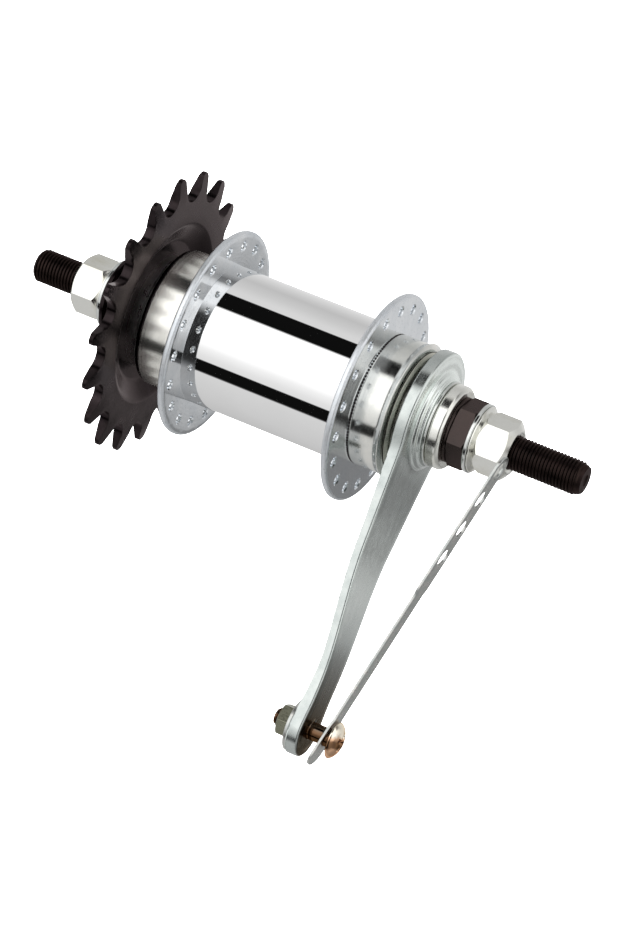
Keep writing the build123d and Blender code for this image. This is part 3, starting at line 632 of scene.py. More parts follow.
def axle(sizes):
    """A rod of radius R with a helical thread at each end, each end a cone, closed by discs to its centre."""
    radius, pitch, depth = sizes.axle_radius / MM, sizes.thread_pitch / MM, sizes.thread_depth / MM
    plain_half, end_r, columns = 50.0, radius - 1.0, 44
    patches = [
        thread(AXLE_START, -plain_half, radius, pitch, depth, (AXLE_START, end_r, 1.0), -plain_half, columns),
        thread(plain_half, AXLE_END, radius, pitch, depth, (AXLE_END, end_r, 0.5), plain_half, columns),
        (spun(np.array([[-plain_half], [plain_half]]), radius, angles(columns)), False, True),
    ]
    for end, dent in ((AXLE_START, 0.5), (AXLE_END, -0.5)):
        r = np.array([[end_r], [1.7], [1.5], [0.0]])
        x = end + np.array([[0.0], [0.0], [dent * 0.5], [dent]])
        patches.append((spun(x, r, angles(columns)), False, True))
    piece("axle_rod", patches, ["axle"], finish("axle_black"), sharp=25)


def barrel(sizes):
    """The barrel's closed section, with the brake bore and the drive taper inside, turned about the axle."""
    end, radius = BARREL_HALF, sizes.barrel_radius / MM
    fit, inner_end, bore, taper_start = PRESS_FIT_R, 20.5, 17.2, -12.5
    section = [(-end, fit, 0), (-end, radius, 0.12), (end, radius, 0.12), (end, fit, 0), (inner_end, fit, 0),
               (inner_end, bore, 0), (taper_start, bore, 0), (taper_start, bore - 0.2, 0), (-inner_end, 15.2, 0),
               (-inner_end, fit, 0)]
    piece("barrel_shell", [lathe(section, 288)], ["barrel_tube"], finish("chrome_barrel"), sharp=25)


def drums():
    """Both bearing drums, turned sections with their ball races, and the knurled seam round the brake drum's foot.

    The seam's teeth are the cosine of 120 times the angle, raised to a power that makes them broad.
    """
    fit, seat, foot_x, lip_x = PRESS_FIT_R, FLANGE_SEAT_R, 20.6, -37.7
    drive_section = [
        (-foot_x, 15.4, 0), (-foot_x, fit, 0), (-FLANGE_BACK, fit, 0), (-FLANGE_BACK, seat, 0),
        (-FLANGE_FACE, seat, 0), (-FLANGE_FACE, 18.9, 0), (-27.0, 19.4, 0.35), (lip_x, 19.4, 0.3),
        (lip_x, 18.2, 0.1), (DRIVE_DRUM_END, 18.2, 0.1), (DRIVE_DRUM_END, 17.6, 0.1), (-33.5, 17.6, 0),
        *arc(-33.5, 13.3, 3.08, 90, -38), (-27.5, 11.4, 0), (-27.5, 15.4, 0),
    ]
    lip = [(lip_x - 0.02, 18.3, 0.05), (lip_x - 0.02, 19.0, 0.3), (DRIVE_DRUM_END, 18.9, 0.4),
           (DRIVE_DRUM_END, 18.3, 0.05)]
    brake_section = [
        (foot_x, 16.0, 0), (foot_x, fit, 0), (FLANGE_BACK, fit, 0), (FLANGE_BACK, seat, 0), (FLANGE_FACE, seat, 0),
        (FLANGE_FACE, 18.3, 0), (26.7, 18.6, 0.2), (34.3, 18.62, 1.0), (35.4, 19.3, 0.3),
        (BRAKE_DRUM_END, 18.0, 0.5), (BRAKE_DRUM_END, 17.0, 0.2), (32.0, 17.0, 0), *arc(32.0, 14.4, 2.46, 90, 192),
        (27.5, 13.9, 0), (27.5, 16.0, 0),
    ]
    turned_piece("drive_drum_shell", "drive_drum", "drum_steel", drive_section, 256)
    # The lip wears the sprocket's black as painted shade: the dark gap between the drum's end and the sprocket.
    turned_piece("drive_drum_lip", "drive_drum", "sprocket_black", lip, 256)
    turned_piece("brake_drum_shell", "brake_drum", "polished_drum", brake_section, 256)

    angle = angles(960)
    tooth = (0.5 + 0.5 * np.cos(angle * 120)) ** 0.7
    x, r, long, rise = np.array([
        (26.02, 18.12, 0.0, 0.0), (26.02, 18.36, 0.0, 0.0), (26.08, 18.40, 0.45, 0.18), (26.10, 18.36, 0.45, 0.18),
        (26.10, 18.2, 0.45, 0.0), (26.02, 18.12, 0.0, 0.0),
    ]).T[..., None]
    seam = spun(x + long * tooth, r + rise * tooth, angle)
    # The seam wears the sprocket's black as painted shade: the shade in its notches.
    piece("knurled_seam", [(seam, True, True)], ["brake_drum"], finish("sprocket_black"))


def flange(name, node, x_in, x_out, phase, sizes):
    """A disc of sectors, one to each spoke hole, joined by a rounded rim and an inner wall.

    In a sector the face runs from its border to the hole's circle, each point of the border going straight towards
    the hole's centre. The hole is a circle with a small countersink on both faces. The whole disc leans towards the
    barrel's middle: x moves by (r - seat) tan(lean).
    """
    holes, circle, hole = sizes.spoke_holes, sizes.spoke_circle / MM, sizes.spoke_hole / MM / 2
    sink_r, sink_depth, edge, seat, steps = hole + 0.38, 0.3, 0.8, FLANGE_SEAT_R, 12
    flat_r = FLANGE_R - edge
    half = np.pi / holes
    fan = np.linspace(-half, half, steps + 1)
    side_r = np.linspace(flat_r, seat, 9)[1:-1]
    border = np.concatenate([on_circle(flat_r, fan), on_circle(side_r, half), on_circle(seat, fan[::-1]),
                             on_circle(side_r[::-1], -half)])
    centre = np.array([circle, 0.0])
    face = blend_rows(border, ring_about(border, centre, sink_r), [0.0, 0.5, 0.85, 1.0])
    wall = np.stack([ring_about(border, centre, hole)] * 2)
    radius, turn = to_polar(np.concatenate([face, wall]))
    low, high = min(x_in, x_out), max(x_in, x_out)
    steepness = -np.sign(x_in) * np.tan(sizes.flange_lean)
    patches = []
    for x_face, inward in ((low, 1), (high, -1)):
        x = np.array([x_face] * len(face) + [x_face + inward * sink_depth, (low + high) / 2])[:, None]
        x = x + steepness * (radius - seat)
        patches += [(spun(x, radius, turn + phase + k * 2 * half), False, True) for k in range(holes)]
    t = np.linspace(0, np.pi / 2, 6)
    rim_x = np.concatenate([low + edge - edge * np.cos(t), high - edge + edge * np.cos(t[::-1])])
    rim_r = flat_r + edge * np.sin(np.concatenate([t, t[::-1]]))
    rim_x = rim_x + steepness * (rim_r - seat)
    angle = angles(steps * holes, phase - half)
    patches.append((spun(rim_x[:, None], rim_r[:, None], angle), False, True))
    patches.append((spun(np.array([[low], [high]]), seat, angle), False, True))
    piece(name, patches, [node], finish("zinc_flange"))


def sprocket(sizes):
    """A dished disc whose outline r(a) is a roller seat, a straight flank and a rounded tip, mirrored for each tooth.

    The faces thin evenly from the root to the tips, and the bore has three notches for the driver's lugs.
    """
    chain_pitch, seat = 12.7, 3.95
    teeth, pitch_r = sizes.teeth, chain_pitch / 2 / np.sin(np.pi / sizes.teeth)
    beta = np.radians(np.linspace(0, 65, 9))
    seat_points = np.stack([pitch_r - seat * np.cos(beta), seat * np.sin(beta)], -1)
    flank_end = np.array([39.35, 5.28])
    flank = blend_rows(seat_points[-1:], flank_end[None], np.linspace(0, 1, 6)[1:])[:, 0]
    half = np.pi / teeth
    tip_a = np.linspace(np.arctan2(*flank_end[::-1]), half, 7)[1:]
    lean = (tip_a - half) / (tip_a[0] - half)
    tip_r = SPROCKET_R - 0.62 * np.abs(lean) ** 2.6
    radius, turn = to_polar(np.concatenate([seat_points, flank, on_circle(tip_r, tip_a)]))
    radius = np.concatenate([radius, radius[-2:0:-1]])
    turn = np.concatenate([turn, 2 * half - turn[-2:0:-1]])
    first_gap = np.radians(10.1) + half
    angle = (first_gap + turn[None] + np.arange(teeth)[:, None] * 2 * half).reshape(1, -1)
    outline = np.tile(radius, teeth)[None]

    face, back, seat_face, seat_back, thin_from = -40.6, -43.4, -43.4, -46.2, 35.5
    bore_r, notch_r, notch_half_width = 13.03, 14.9, 3.6
    off_notch = np.abs(np.mod(angle + TURN / 6, TURN / 3) - TURN / 6)
    bore = np.where(off_notch < np.arcsin(notch_half_width / 14.0), notch_r, bore_r)
    root = np.minimum(outline, thin_from)
    thinner = 0.8 * np.clip((outline - thin_from) / 5.0, 0, 1)
    section = [
        (seat_face, bore), (seat_face, 19.9), (seat_face + 0.1, 20.6), (seat_face + 0.45, 21.3), (face - 0.45, 25.0),
        (face - 0.1, 25.7), (face, 26.4), (face, 31.4), (face, root), (face - thinner, outline),
        (back + thinner, outline), (back, root), (back, 31.4), (back, 27.0), (back - 0.1, 26.3), (back - 0.45, 25.6),
        (seat_back + 0.45, 21.9), (seat_back + 0.1, 21.2), (seat_back, 20.5), (seat_back, bore),
    ]
    x, r = (np.concatenate([np.broadcast_to(row, outline.shape) for row in part]) for part in zip(*section))
    piece("sprocket_disc", [(spun(x, r, angle), True, True)], ["sprocket"], finish("sprocket_black"), sharp=38,
          bevel=0.22)


def drive_fittings():
    """Turned pieces at the drive side: both dust covers and the dark washer."""
    turned_piece("driver_dust_cover", "driver_dust_cap", "drum_steel",
                 ring(-38.6, -37.7, 12.25, 17.25, (0.1, 0.3, 0.2, 0.1)))
    turned_piece("outer_dust_cover", "outer_dust_cap", SLOT["outer_dust_cap"],
                 ring(-48.6, -48.0, 9.4, 13.0, (0.1, 0.25, 0.1, 0.1)))
    turned_piece("drive_dark_washer", "drive_lock_washer", "sprocket_black",
                 ring(-55.0, -53.8, 4.8, 11.3, (0.2, 0.35, 0.3, 0.2)))


def lock_nuts(sizes):
    """Hexagon nuts with a turned cone at the outer end and a round seat at the inner one."""
    flats, corner = sizes.lock_nut_flats / MM, sizes.lock_nut_turn
    full = corner_r(flats)
    for name, node, inner, outer in (("brake_lock_hexagon", "brake_lock_nut", COLLAR_TOP, LOCK_NUT_END),
                                     ("drive_lock_hexagon", "drive_lock_nut", -50.5, -53.8)):
        side = np.sign(outer - inner)
        foot = [(inner, 8.9), (inner + side * 0.12, 9.2), (inner + side * 0.75, 9.2), (inner + side * 0.9, 8.9)]
        grid = nut_grid(foot[-1][0], outer, flats, corner, CLAMP_BORE_R, (8.6, 0.4), (full - 0.85, 0.55), foot)
        piece(name, [grid], [node], finish("lock_nut_black"), sharp=20, bevel=0.12)


def axle_nuts(sizes):
    """Hexagon nuts on a round foot, each end of the hexagon a turned cone, and the washer under each."""
    flats, corner, bore = sizes.axle_nut_flats / MM, sizes.axle_nut_turn, 4.83
    full = corner_r(flats)
    for side, label in ((1, "brake"), (-1, "drive")):
        foot_x, top_x = side * NUT_FOOT, side * NUT_TOP
        foot = [(foot_x, 9.0), (foot_x + side * 0.1, 9.3), (foot_x + side * 0.35, 9.3), (foot_x + side * 0.5, 9.15),
                (foot_x + side * 0.8, 8.3), (foot_x + side * 1.0, 7.9)]
        grid = nut_grid(foot_x + side * 1.1, top_x, flats, corner, bore, (7.5, 1.3), (full - 2.4, 1.6), foot)
        piece(f"{label}_nut_hexagon", [grid], [f"{label}_axle_nut"], finish("nut_plate"), sharp=20, bevel=0.12)
        washer = ring(side * (LOCK_NUT_END + 0.05), foot_x, 5.16, 9.75, (0.2, 0.3, 0.35, 0.2))
        turned_piece(f"{label}_nut_ring", f"{label}_nut_washer", "washer_steel", washer, 128)


def arm_half_width(s):
    """Half the arm's width at a distance s from the axle along the arm.

    It is the head's circle, softly joined to a straight taper, then a cubic through the waist, then the tip's circle.
    """
    s = np.asarray(s, float)
    head = np.sqrt(np.clip(ARM_HEAD_R ** 2 - s ** 2, 0, None))
    shoulder_s, shoulder, waist, neck, neck_slope = 10.0, 15.8, 9.9, 6.9, -0.02
    slope = (waist - shoulder) / (ARM_WAIST - shoulder_s)
    line = shoulder + slope * (s - shoulder_s)
    step = np.clip((s + 2.0) / 10.0, 0, 1)
    soft = (head + line + np.sqrt((head - line) ** 2 + 0.5)) / 2
    taper = np.where(s < 30, head * (1 - step) + soft * step, line)

    def cubic(s0, w0, m0, s1, w1, m1):
        t, d = np.clip((s - s0) / (s1 - s0), 0, 1), s1 - s0
        return ((2 * t ** 3 - 3 * t ** 2 + 1) * w0 + (t ** 3 - 2 * t ** 2 + t) * d * m0
                + (3 * t ** 2 - 2 * t ** 3) * w1 + (t ** 3 - t ** 2) * d * m1)

    width = np.where(s < ARM_WAIST, taper, cubic(ARM_WAIST, waist, slope, ARM_SHAFT_END, neck, neck_slope))
    width = np.where(s < ARM_SHAFT_END, width, cubic(ARM_SHAFT_END, neck, neck_slope, ARM_TIP_START, 7.72, 0.1))
    tip = np.sqrt(np.clip(ARM_TIP_R ** 2 - (s - ARM_REACH) ** 2, 0, None))
    return np.where(s > ARM_TIP_START, tip, width)


def arm_point(s, w, drop):
    """A point of the arm, s along it, w across it and drop behind its cranked face."""
    t = np.clip((s - CRANK_START) / (CRANK_END - CRANK_START), 0, 1)
    x = ARM_FACE + CRANK_RISE * t * t * (3 - 2 * t) - drop
    return np.stack([x, s * np.cos(ARM_AIM) - w * np.sin(ARM_AIM), s * np.sin(ARM_AIM) + w * np.cos(ARM_AIM)], -1)


def brake_arm(sizes):
    """A pressed sheet: a rim profile carried round the arm's outline, a face between, a boss round a flatted hole.

    The rim's row k is the outline moved in along its own normal, and dropped, by a quarter ellipse. The wall below it
    goes deeper at the head and at the tip. The face of the head and of the tip runs from the rim straight towards a
    circle; between them it runs from side to side.
    """
    corner, wall_depth, face_rise = sizes.arm_corner / MM, 2.6, 0.15
    head = -ARM_HEAD_R * np.cos(np.linspace(0, np.radians(96), 60))
    taper = np.linspace(head[-1], ARM_SHAFT_START, 16)[1:]
    shaft = np.linspace(ARM_SHAFT_START, ARM_SHAFT_END, 60)[1:]
    tip = ARM_SHAFT_END + (ARM_REACH + ARM_TIP_R - ARM_SHAFT_END) * np.sin(np.linspace(0, np.pi / 2, 40))[1:]
    s = np.concatenate([head, taper, shaft, tip])
    w = arm_half_width(s)
    w[[0, -1]] = 0
    first, last = len(head) + len(taper) - 1, len(head) + len(taper) + len(shaft) - 1
    along = np.gradient(np.stack([s, w], -1), axis=0)
    along[0], along[-1] = (0, 1), (0, -1)
    along /= np.linalg.norm(along, axis=1, keepdims=True)
    out = np.stack([-along[:, 1], along[:, 0]], -1)

    t = np.linspace(0, np.pi / 2, 8)
    inset = np.concatenate([[0.0, 0.0], corner * (1 - np.cos(t)), [1.7, 2.1, 2.5]])
    drop = np.concatenate([[wall_depth, wall_depth - 0.3], corner * (1 - np.sin(t)), [0, -face_rise / 2, -face_rise]])
    mirrored = np.array([1.0, -1.0])
    upper = np.stack([s, w], -1)[None] - inset[:, None, None] * out[None]
    loop = np.concatenate([upper, (upper * mirrored)[:, -2:0:-1]], 1)
    at_tip, at_head = (loop[..., 0] - 70.0) / 14.0, (34.0 - loop[..., 0]) / 28.0
    on_wall = drop[:, None] > corner + 0.001
    deeper = 0.85 * on_wall * (np.clip(at_tip, 0, 1) + np.clip(at_head, 0, 1))
    patches = [(arm_point(loop[..., 0], loop[..., 1], drop[:, None] + deeper), False, True)]

    def flat(points, drop, closed=True):
        """A patch of points (s, w), dropped from the cranked face."""
        patches.append((arm_point(points[..., 0], points[..., 1], drop), False, closed))

    edge = upper[-1]
    across = np.linspace(1, -1, 15)[None, :, None]
    strip = edge[first:last + 1, None] * np.concatenate([np.ones_like(across), across], -1)
    flat(strip, -face_rise, False)

    boss_foot, rows = 14.6, [0.0, 0.3, 0.6, 0.85, 1.0]
    head_loop = np.concatenate([edge[:first + 1] * mirrored, strip[0][-2:0:-1], edge[first:0:-1]])
    away = ring_about(head_loop, np.zeros(2), 1.0)
    flat(blend_rows(head_loop, away * boss_foot, rows), -face_rise)
    boss_r = np.array([boss_foot, 14.2, 13.95, 13.85, 13.75, 13.5, 13.1, 12.8, 12.7, 12.62, 12.5, 12.2, 11.8, 9.6])
    boss_x = np.array([0, 0.06, 0.2, 0.4, 0.8, 0.97, 1.07, 1.2, 1.35, 1.65, 1.97, 2.11, 2.15, 2.15])
    flat(away[None] * boss_r[:, None, None], -face_rise - boss_x[:, None])
    hole_r, hole_half_flats, hole_end = 9.33, 8.03, 43.0
    turn = to_polar(away)[1] + ARM_AIM
    seat = np.minimum(hole_r, hole_half_flats / np.maximum(np.abs(np.sin(turn)), 1e-3))
    hole = np.stack([away * boss_r[-1], away * seat[:, None], away * seat[:, None]])
    flat(hole, ARM_FACE - np.array([[BOSS_TOP], [BOSS_TOP], [hole_end]]))

    screw_hole_r = 2.505
    tip_loop = np.concatenate([edge[last:], edge[-2:last - 1:-1] * mirrored, strip[-1][-2:0:-1]])
    flat(blend_rows(tip_loop, ring_about(tip_loop, np.array([ARM_REACH, 0.0]), screw_hole_r), rows), -face_rise)
    piece("pressed_brake_arm", patches, ["brake_arm"], finish("arm_zinc"), sharp=60, wall=1.8, bevel=0.12,
          open_towards=(1, 0, 0))


def arm_clamp():
    """The washer on the boss, the collar that presses it down and the drum's dust cover, with broken edges."""
    washer_top = 45.6
    washer = ring(BOSS_TOP, washer_top, CLAMP_BORE_R, 12.0, (0.1, 0.3, 0.3, 0.1))
    turned_piece("boss_washer", "arm_washer", "washer_steel", washer, 160)
    collar = [(washer_top, CLAMP_BORE_R, 0.1), (washer_top, 11.3, 0.25), (46.1, 11.8, 0.3), (48.6, 11.8, 0.5),
              (COLLAR_TOP, 11.0, 0.4), (COLLAR_TOP, CLAMP_BORE_R, 0.1)]
    turned_piece("boss_collar", "arm_collar", "nut_plate", collar, 160)
    cover = [(36.3, 13.73, 0.1), (36.3, 17.1, 0.2), (37.4, 16.2, 0.5), (37.4, 13.73, 0.1)]
    turned_piece("brake_dust_cover", "brake_dust_cap", "dull_cover", cover, 160)


def clip_screw():
    """A pan-head screw: turned head and shank, a threaded end, and a cross let into the head.

    The head's height over (u, v) is an elliptical dome less a depth inside the cross, |u| or |v| < half a slot.
    """
    start, end = span("clip_screw")
    radius, head_r, thread_in, columns = 2.475, 5.1, 46.0, 192
    t = np.linspace(0, 1, 64)[:, None]
    r = head_r * (1 - (1 - t) ** 1.6)
    dome = end - 2.9 * (1 - np.sqrt(1 - (0.985 * r / head_r) ** 2))
    angle = angles(columns)
    u, v = r * np.cos(angle - 0.5), r * np.sin(angle - 0.5)

    def slot(a, b):
        return np.clip((0.68 - np.abs(a)) / 0.3, 0, 1) * np.clip((2.7 - np.abs(b)) / 0.9, 0, 1)

    cross = np.maximum(slot(u, v), slot(v, u))
    top = (spun(dome - 1.3 * cross, r, angle, SCREW_CENTRE), False, True)
    side = lathe([(dome[-1, 0], head_r, 0), (SCREW_HEAD_X + 0.3, head_r, 0.3), (SCREW_HEAD_X, 4.8, 0.1),
                  (SCREW_HEAD_X, radius, 0), (thread_in + 0.2, radius, 0), (thread_in, radius, 0)],
                 columns, False, SCREW_CENTRE)
    pitch, depth, end_r = 0.8, 0.4, radius - 0.5
    wound = thread(start, thread_in, radius, pitch, depth, (start, end_r, 1.0), thread_in, columns // 4, SCREW_CENTRE)
    cap = (spun(start, np.array([[end_r], [0.0]]), angles(columns // 4), SCREW_CENTRE), False, True)
    piece("clip_pan_screw", [top, side, wound, cap], ["clip_screw"], finish("copper_screw"), sharp=35)


def clip_nut_and_washer():
    """The hexagon nut behind the arm's tip, both ends turned to a cone, and its round washer.

    The nut is a little short of its solid, so that the screw's end stands out of it.
    """
    flats, bore = 8.0, 2.51
    low, high = span("clip_nut")
    cone = (corner_r(flats) - 0.5, 0.3)
    grid = nut_grid(low + 1.1, high, flats, np.radians(15.0), bore, cone, cone, (), SCREW_CENTRE)
    piece("clip_hexagon", [grid], ["clip_nut"], finish("clip_nut_steel"), sharp=20, bevel=0.1)
    section = ring(*span("clip_washer"), bore, 7.4, (0.1, 0.25, 0.25, 0.1))
    turned_piece("clip_ring", "clip_washer", "strap_zinc", section, 96, SCREW_CENTRE)


def strap_half_width(s):
    """Half the strap's width at s along it: a rounded eye, a narrow bar, and a wide bar with a round end."""
    wide, narrow = 7.3 / 2, 5.9 / 2
    eye = np.sqrt(np.clip(wide ** 2 - np.clip(np.abs(s + 0.8) - 4.35, 0, None) ** 2, 0, None))
    bar = np.sqrt(np.clip(wide ** 2 - np.clip(np.abs(s - 66.65) - 18.6, 0, None) ** 2, 0, None))
    middle = np.where((s > 0) & (s < 60), narrow, 0.0)
    return np.maximum(np.maximum(eye, bar), middle)


def strap_cell(start, end, middle, hole, closed_start=False, closed_end=False):
    """A cell of the strap round one hole: its border, each point going straight towards the hole's circle.

    closed_start and closed_end say where the strap's own round end closes the cell.
    """
    along, across = 28, 9
    top_s = start + (end - start) * (1 - np.cos(np.linspace(0, np.pi, along))) / 2
    top = np.stack([top_s, strap_half_width(top_s)], -1)
    if closed_start:
        top[0, 1] = 0
    if closed_end:
        top[-1, 1] = 0
    bottom = top[::-1] * np.array([1.0, -1.0])
    parts = [top, bottom[int(closed_end):len(bottom) - int(closed_start)]]
    end_w = np.linspace(1, -1, across + 2)[1:-1]
    if not closed_end:
        parts.insert(1, np.stack([np.full(across, end), top[-1, 1] * end_w], -1))
    if not closed_start:
        parts.append(np.stack([np.full(across, start), -top[0, 1] * end_w], -1))
    border = np.concatenate(parts)
    return blend_rows(border, ring_about(border, np.array([middle, 0.0]), hole), [0.0, 0.5, 0.85, 1.0])


def strap():
    """A thin leaning bar: an eye on the screw, a plain run and cells with round holes, all on one tilted plane."""
    hole, pitch, reach, eye_end, thickness = 2.6, 9.1, 88.9, 8.0, 0.8
    holes = reach - 4.1 - pitch * np.arange(4)
    flats = [(strap_cell(-8.8, eye_end, 0.0, 2.75, closed_start=True), True)]
    plain_s = np.linspace(eye_end, holes[-1] - pitch / 2, 60)
    plain_w = strap_half_width(plain_s)[:, None] * np.linspace(1, -1, 11)[None]
    flats.append((np.stack([np.broadcast_to(plain_s[:, None], plain_w.shape), plain_w], -1), False))
    for place in holes[::-1]:
        end = reach if place == holes[0] else place + pitch / 2
        flats.append((strap_cell(place - pitch / 2, end, place, hole, closed_end=place == holes[0]), True))
    lean, aim = np.radians(12.8), np.radians(45.0)
    along = np.array([np.sin(lean), np.cos(lean) * np.cos(aim), np.cos(lean) * np.sin(aim)])
    normal = np.array([np.cos(lean), -np.sin(lean) * np.cos(aim), -np.sin(lean) * np.sin(aim)])
    side = np.cross(normal, along)
    origin = np.array([50.0, *SCREW_CENTRE]) + thickness / 2 * normal
    patches = [(origin + flat[..., :1] * along + flat[..., 1:] * side, False, wrap) for flat, wrap in flats]
    piece("leaning_strap", patches, ["clip_strap"], finish("strap_zinc"), sharp=50, wall=thickness, bevel=0.14,
          open_towards=tuple(normal))


# Studio

def studio_tone(stops):
    """Stops of (angle from +Y towards +Z in degrees, grey as the eye sees it) as places from 0 to 1.

    255 is white paper, and more is the lamp's own white.
    """
    out = []
    for angle, tone in stops:
        value = tone / 255.0
        linear = value / 12.92 if value <= 0.04045 else ((value + 0.055) / 1.055) ** 2.4
        out.append(((angle + 180) / 360, linear))
    return out


def studio_floor():
    """A wide pale floor under the hub, which polished metal doesn't mirror."""
    side = np.linspace(-3000.0, 3000.0, 3)
    x, y = np.meshgrid(side, side, indexing="ij")
    grid = np.stack([x, y, np.full_like(x, FLOOR_Z)], -1).reshape(-1, 3) * MM
    mesh = bpy.data.meshes.new("floor")
    mesh.from_pydata(grid.tolist(), [], grid_faces(*x.shape, False, False)[:, ::-1].tolist())
    mesh.update()
    floor = bpy.data.objects.new("floor", mesh)
    bpy.context.scene.collection.objects.link(floor)
    mesh.materials.append(pale_floor())
    floor.visible_glossy = False


def studio_light(sizes):
    """Soft light from all round, a white backdrop, and the walls with dark flags that only polished metal mirrors.

    The walls' grey depends on the angle round the axle. Five rings of walls follow each other along the axle, and each
    fades into the next between two values of the X part of a ray's direction.
    """
    world = bpy.data.worlds.new("Studio")
    bpy.context.scene.world = world
    world.use_nodes = True
    world.cycles.sampling_method = "NONE"
    tree = world.node_tree
    tree.nodes.clear()
    add = partial(add_node, tree)
    part = add("SeparateXYZ", {0: add("TexCoord").outputs["Generated"]}).outputs
    turn = add("Math", {0: part["Z"], 1: part["Y"]}, operation="ARCTAN2").outputs[0]
    place = add("MapRange", {0: turn, 1: -np.pi, 2: np.pi, 3: 0.0, 4: 1.0}).outputs[0]

    def walls(*stops):
        made = add("ValToRGB", {0: place})
        ramp = made.color_ramp
        while len(ramp.elements) < len(stops):
            ramp.elements.new(0.5)
        for element, (position, grey) in zip(ramp.elements, studio_tone(stops)):
            element.position = position
            element.color = (grey, grey, grey, 1.0)
        return made.outputs[0]

    flag, backdrop = 14, 1.05
    under = ((-180, flag), (-161.8, flag), (-161.4, 211), (-110, 199))
    low_front = ((-63, 140), (-56, 128), (-50.6, 124), (-49.4, 204))
    over = ((-5, 205), (15, 188), (35, 200), (50, 213), (59.6, 214), (60, flag), (88.4, flag), (88.8, 262),
            (98, 300), (138, 300), (150, 262), (158, 244), (170, 227), (177.4, 222), (177.8, flag), (179.9, flag))
    far_drive = walls((-180, 205), (-150, 190), (-70, 180), (-32, 215), (0, 195), (40, 190), (70, 185), (88, 220),
                      (100, 285), (140, 285), (160, 235), (179.9, 205))
    drive_side = walls(*under, (-70, 186), (-32, 222), *over)
    middle = walls(*under, (-75, 165), *low_front, (-46, 210), (-32, 216), *over)
    brake_side = walls((-180, 45), (-172, 60), (-166, 110), (-156, 160), (-120, 172), (-95, 150), (-75, 150),
                       *low_front, (-48, 210), (-44, 208), (-25, 205), (0, 190), (16, 178), (25, 150), (31, 120),
                       (41, 135), (46, 225), (52, 262), (86, 262), (93, 220), (101, 150), (108, 65), (116, 40),
                       (179.9, 40))
    far_brake = walls((-180, 235), (-90, 190), (-40, 200), (0, 215), (60, 262), (150, 270), (179.9, 235))

    around = far_drive
    for start, end, wall in ((-0.60, -0.48, drive_side), (0.16, 0.24, middle), (0.27, 0.37, brake_side),
                             (0.62, 0.80, far_brake)):
        towards = add("MapRange", {0: part["X"], 1: start, 2: end, 3: 0.0, 4: 1.0}).outputs[0]
        around = add("Mix", {0: towards, 6: around, 7: wall}, data_type="RGBA").outputs[2]

    def light(colour, strength):
        return add("Background", {"Color": colour, "Strength": strength}).outputs[0]

    white = (1.0, 1.0, 1.0, 1.0)
    path = add("LightPath").outputs
    lit = light(white, sizes.soft_light)
    for ray, seen in (("Is Glossy Ray", light(around, sizes.mirror_light)), ("Is Camera Ray", light(white, backdrop))):
        lit = add("MixShader", {0: path[ray], 1: lit, 2: seen}).outputs[0]
    add("OutputWorld", {0: lit})


def studio_camera():
    """A long lens that looks down on the hub from the front of the brake side.

    The tilt is counted from looking straight down, and the turn from looking along +Y.
    """
    tilt, turn = np.radians(42.6329), np.radians(28.9532)
    lens = bpy.data.cameras.new("Camera")
    lens.lens = 150.017
    lens.sensor_width = 36.0
    lens.sensor_fit = "AUTO"
    lens.clip_start = 0.01
    lens.clip_end = 20.0
    camera = bpy.data.objects.new("Camera", lens)
    bpy.context.scene.collection.objects.link(camera)
    camera.location = (0.356967, -0.636180, 0.752308)
    camera.rotation_euler = (tilt, 0.0, turn)
    bpy.context.scene.camera = camera
    bpy.context.scene.view_settings.view_transform = "Standard"
    bpy.context.scene.view_settings.look = "None"


# What a user can change

def length(name, description, millimetres, **limits):
    """A length for the panel."""
    return bpy.props.FloatProperty(name=name, description=description, default=millimetres * MM, precision=5,
                                   subtype="DISTANCE", unit="LENGTH", min=0.0, **limits)


def turn_of(name, description, degrees):
    """An angle for the panel."""
    return bpy.props.FloatProperty(name=name, description=description, default=np.radians(degrees),
                                   subtype="ANGLE", unit="ROTATION")


def shade_of(name, description, *colour):
    """A colour for the panel."""
    return bpy.props.FloatVectorProperty(name=name, description=description, default=colour, size=3, min=0.0,
                                         max=1.0, subtype="COLOR")


class HUB_PG_sizes(bpy.types.PropertyGroup):
    """Sizes of the hub's visible details."""

    axle_radius: length("Axle radius", "Radius of the axle over its thread", span("axle", 2)[1])
    thread_pitch: length("Thread pitch", "Distance between turns of the axle's thread", 25.4 / 26)
    thread_depth: length("Thread depth", "Depth of the axle's thread", 0.52)
    barrel_radius: length("Barrel radius", "Outer radius of the chromed barrel", BARREL_R)
    spoke_circle: length("Spoke circle radius", "Radius of the circle that the spoke holes lie on", 25.4)
    spoke_hole: length("Spoke hole", "Diameter of a spoke hole", 2.7)
    spoke_holes: bpy.props.IntProperty(name="Spoke holes", description="Holes in each flange", default=18, min=3)
    flange_lean: turn_of("Flange lean", "How far the flanges lean towards the middle", 1.8)
    teeth: bpy.props.IntProperty(name="Teeth", description="Teeth of the sprocket", default=18, min=9)
    lock_nut_flats: length("Lock nut flats", "Distance across the lock nuts' flats", 17.0)
    lock_nut_turn: turn_of("Lock nut turn", "Where a corner of the lock nuts points", 35.0)
    axle_nut_flats: length("Axle nut flats", "Distance across the axle nuts' flats", 15.0)
    axle_nut_turn: turn_of("Axle nut turn", "Where a corner of the axle nuts points", 39.5)
    arm_corner: length("Arm corner", "How far the press rounds the brake arm's edge", 0.9)
    mirror_light: bpy.props.FloatProperty(
        name="Mirrored light", description="Strength of the light that polished metal mirrors", default=1.12,
        min=0.0)
    soft_light: bpy.props.FloatProperty(
        name="Soft light", description="Strength of the light on the floor and on dull surfaces", default=4.0,
        min=0.0)


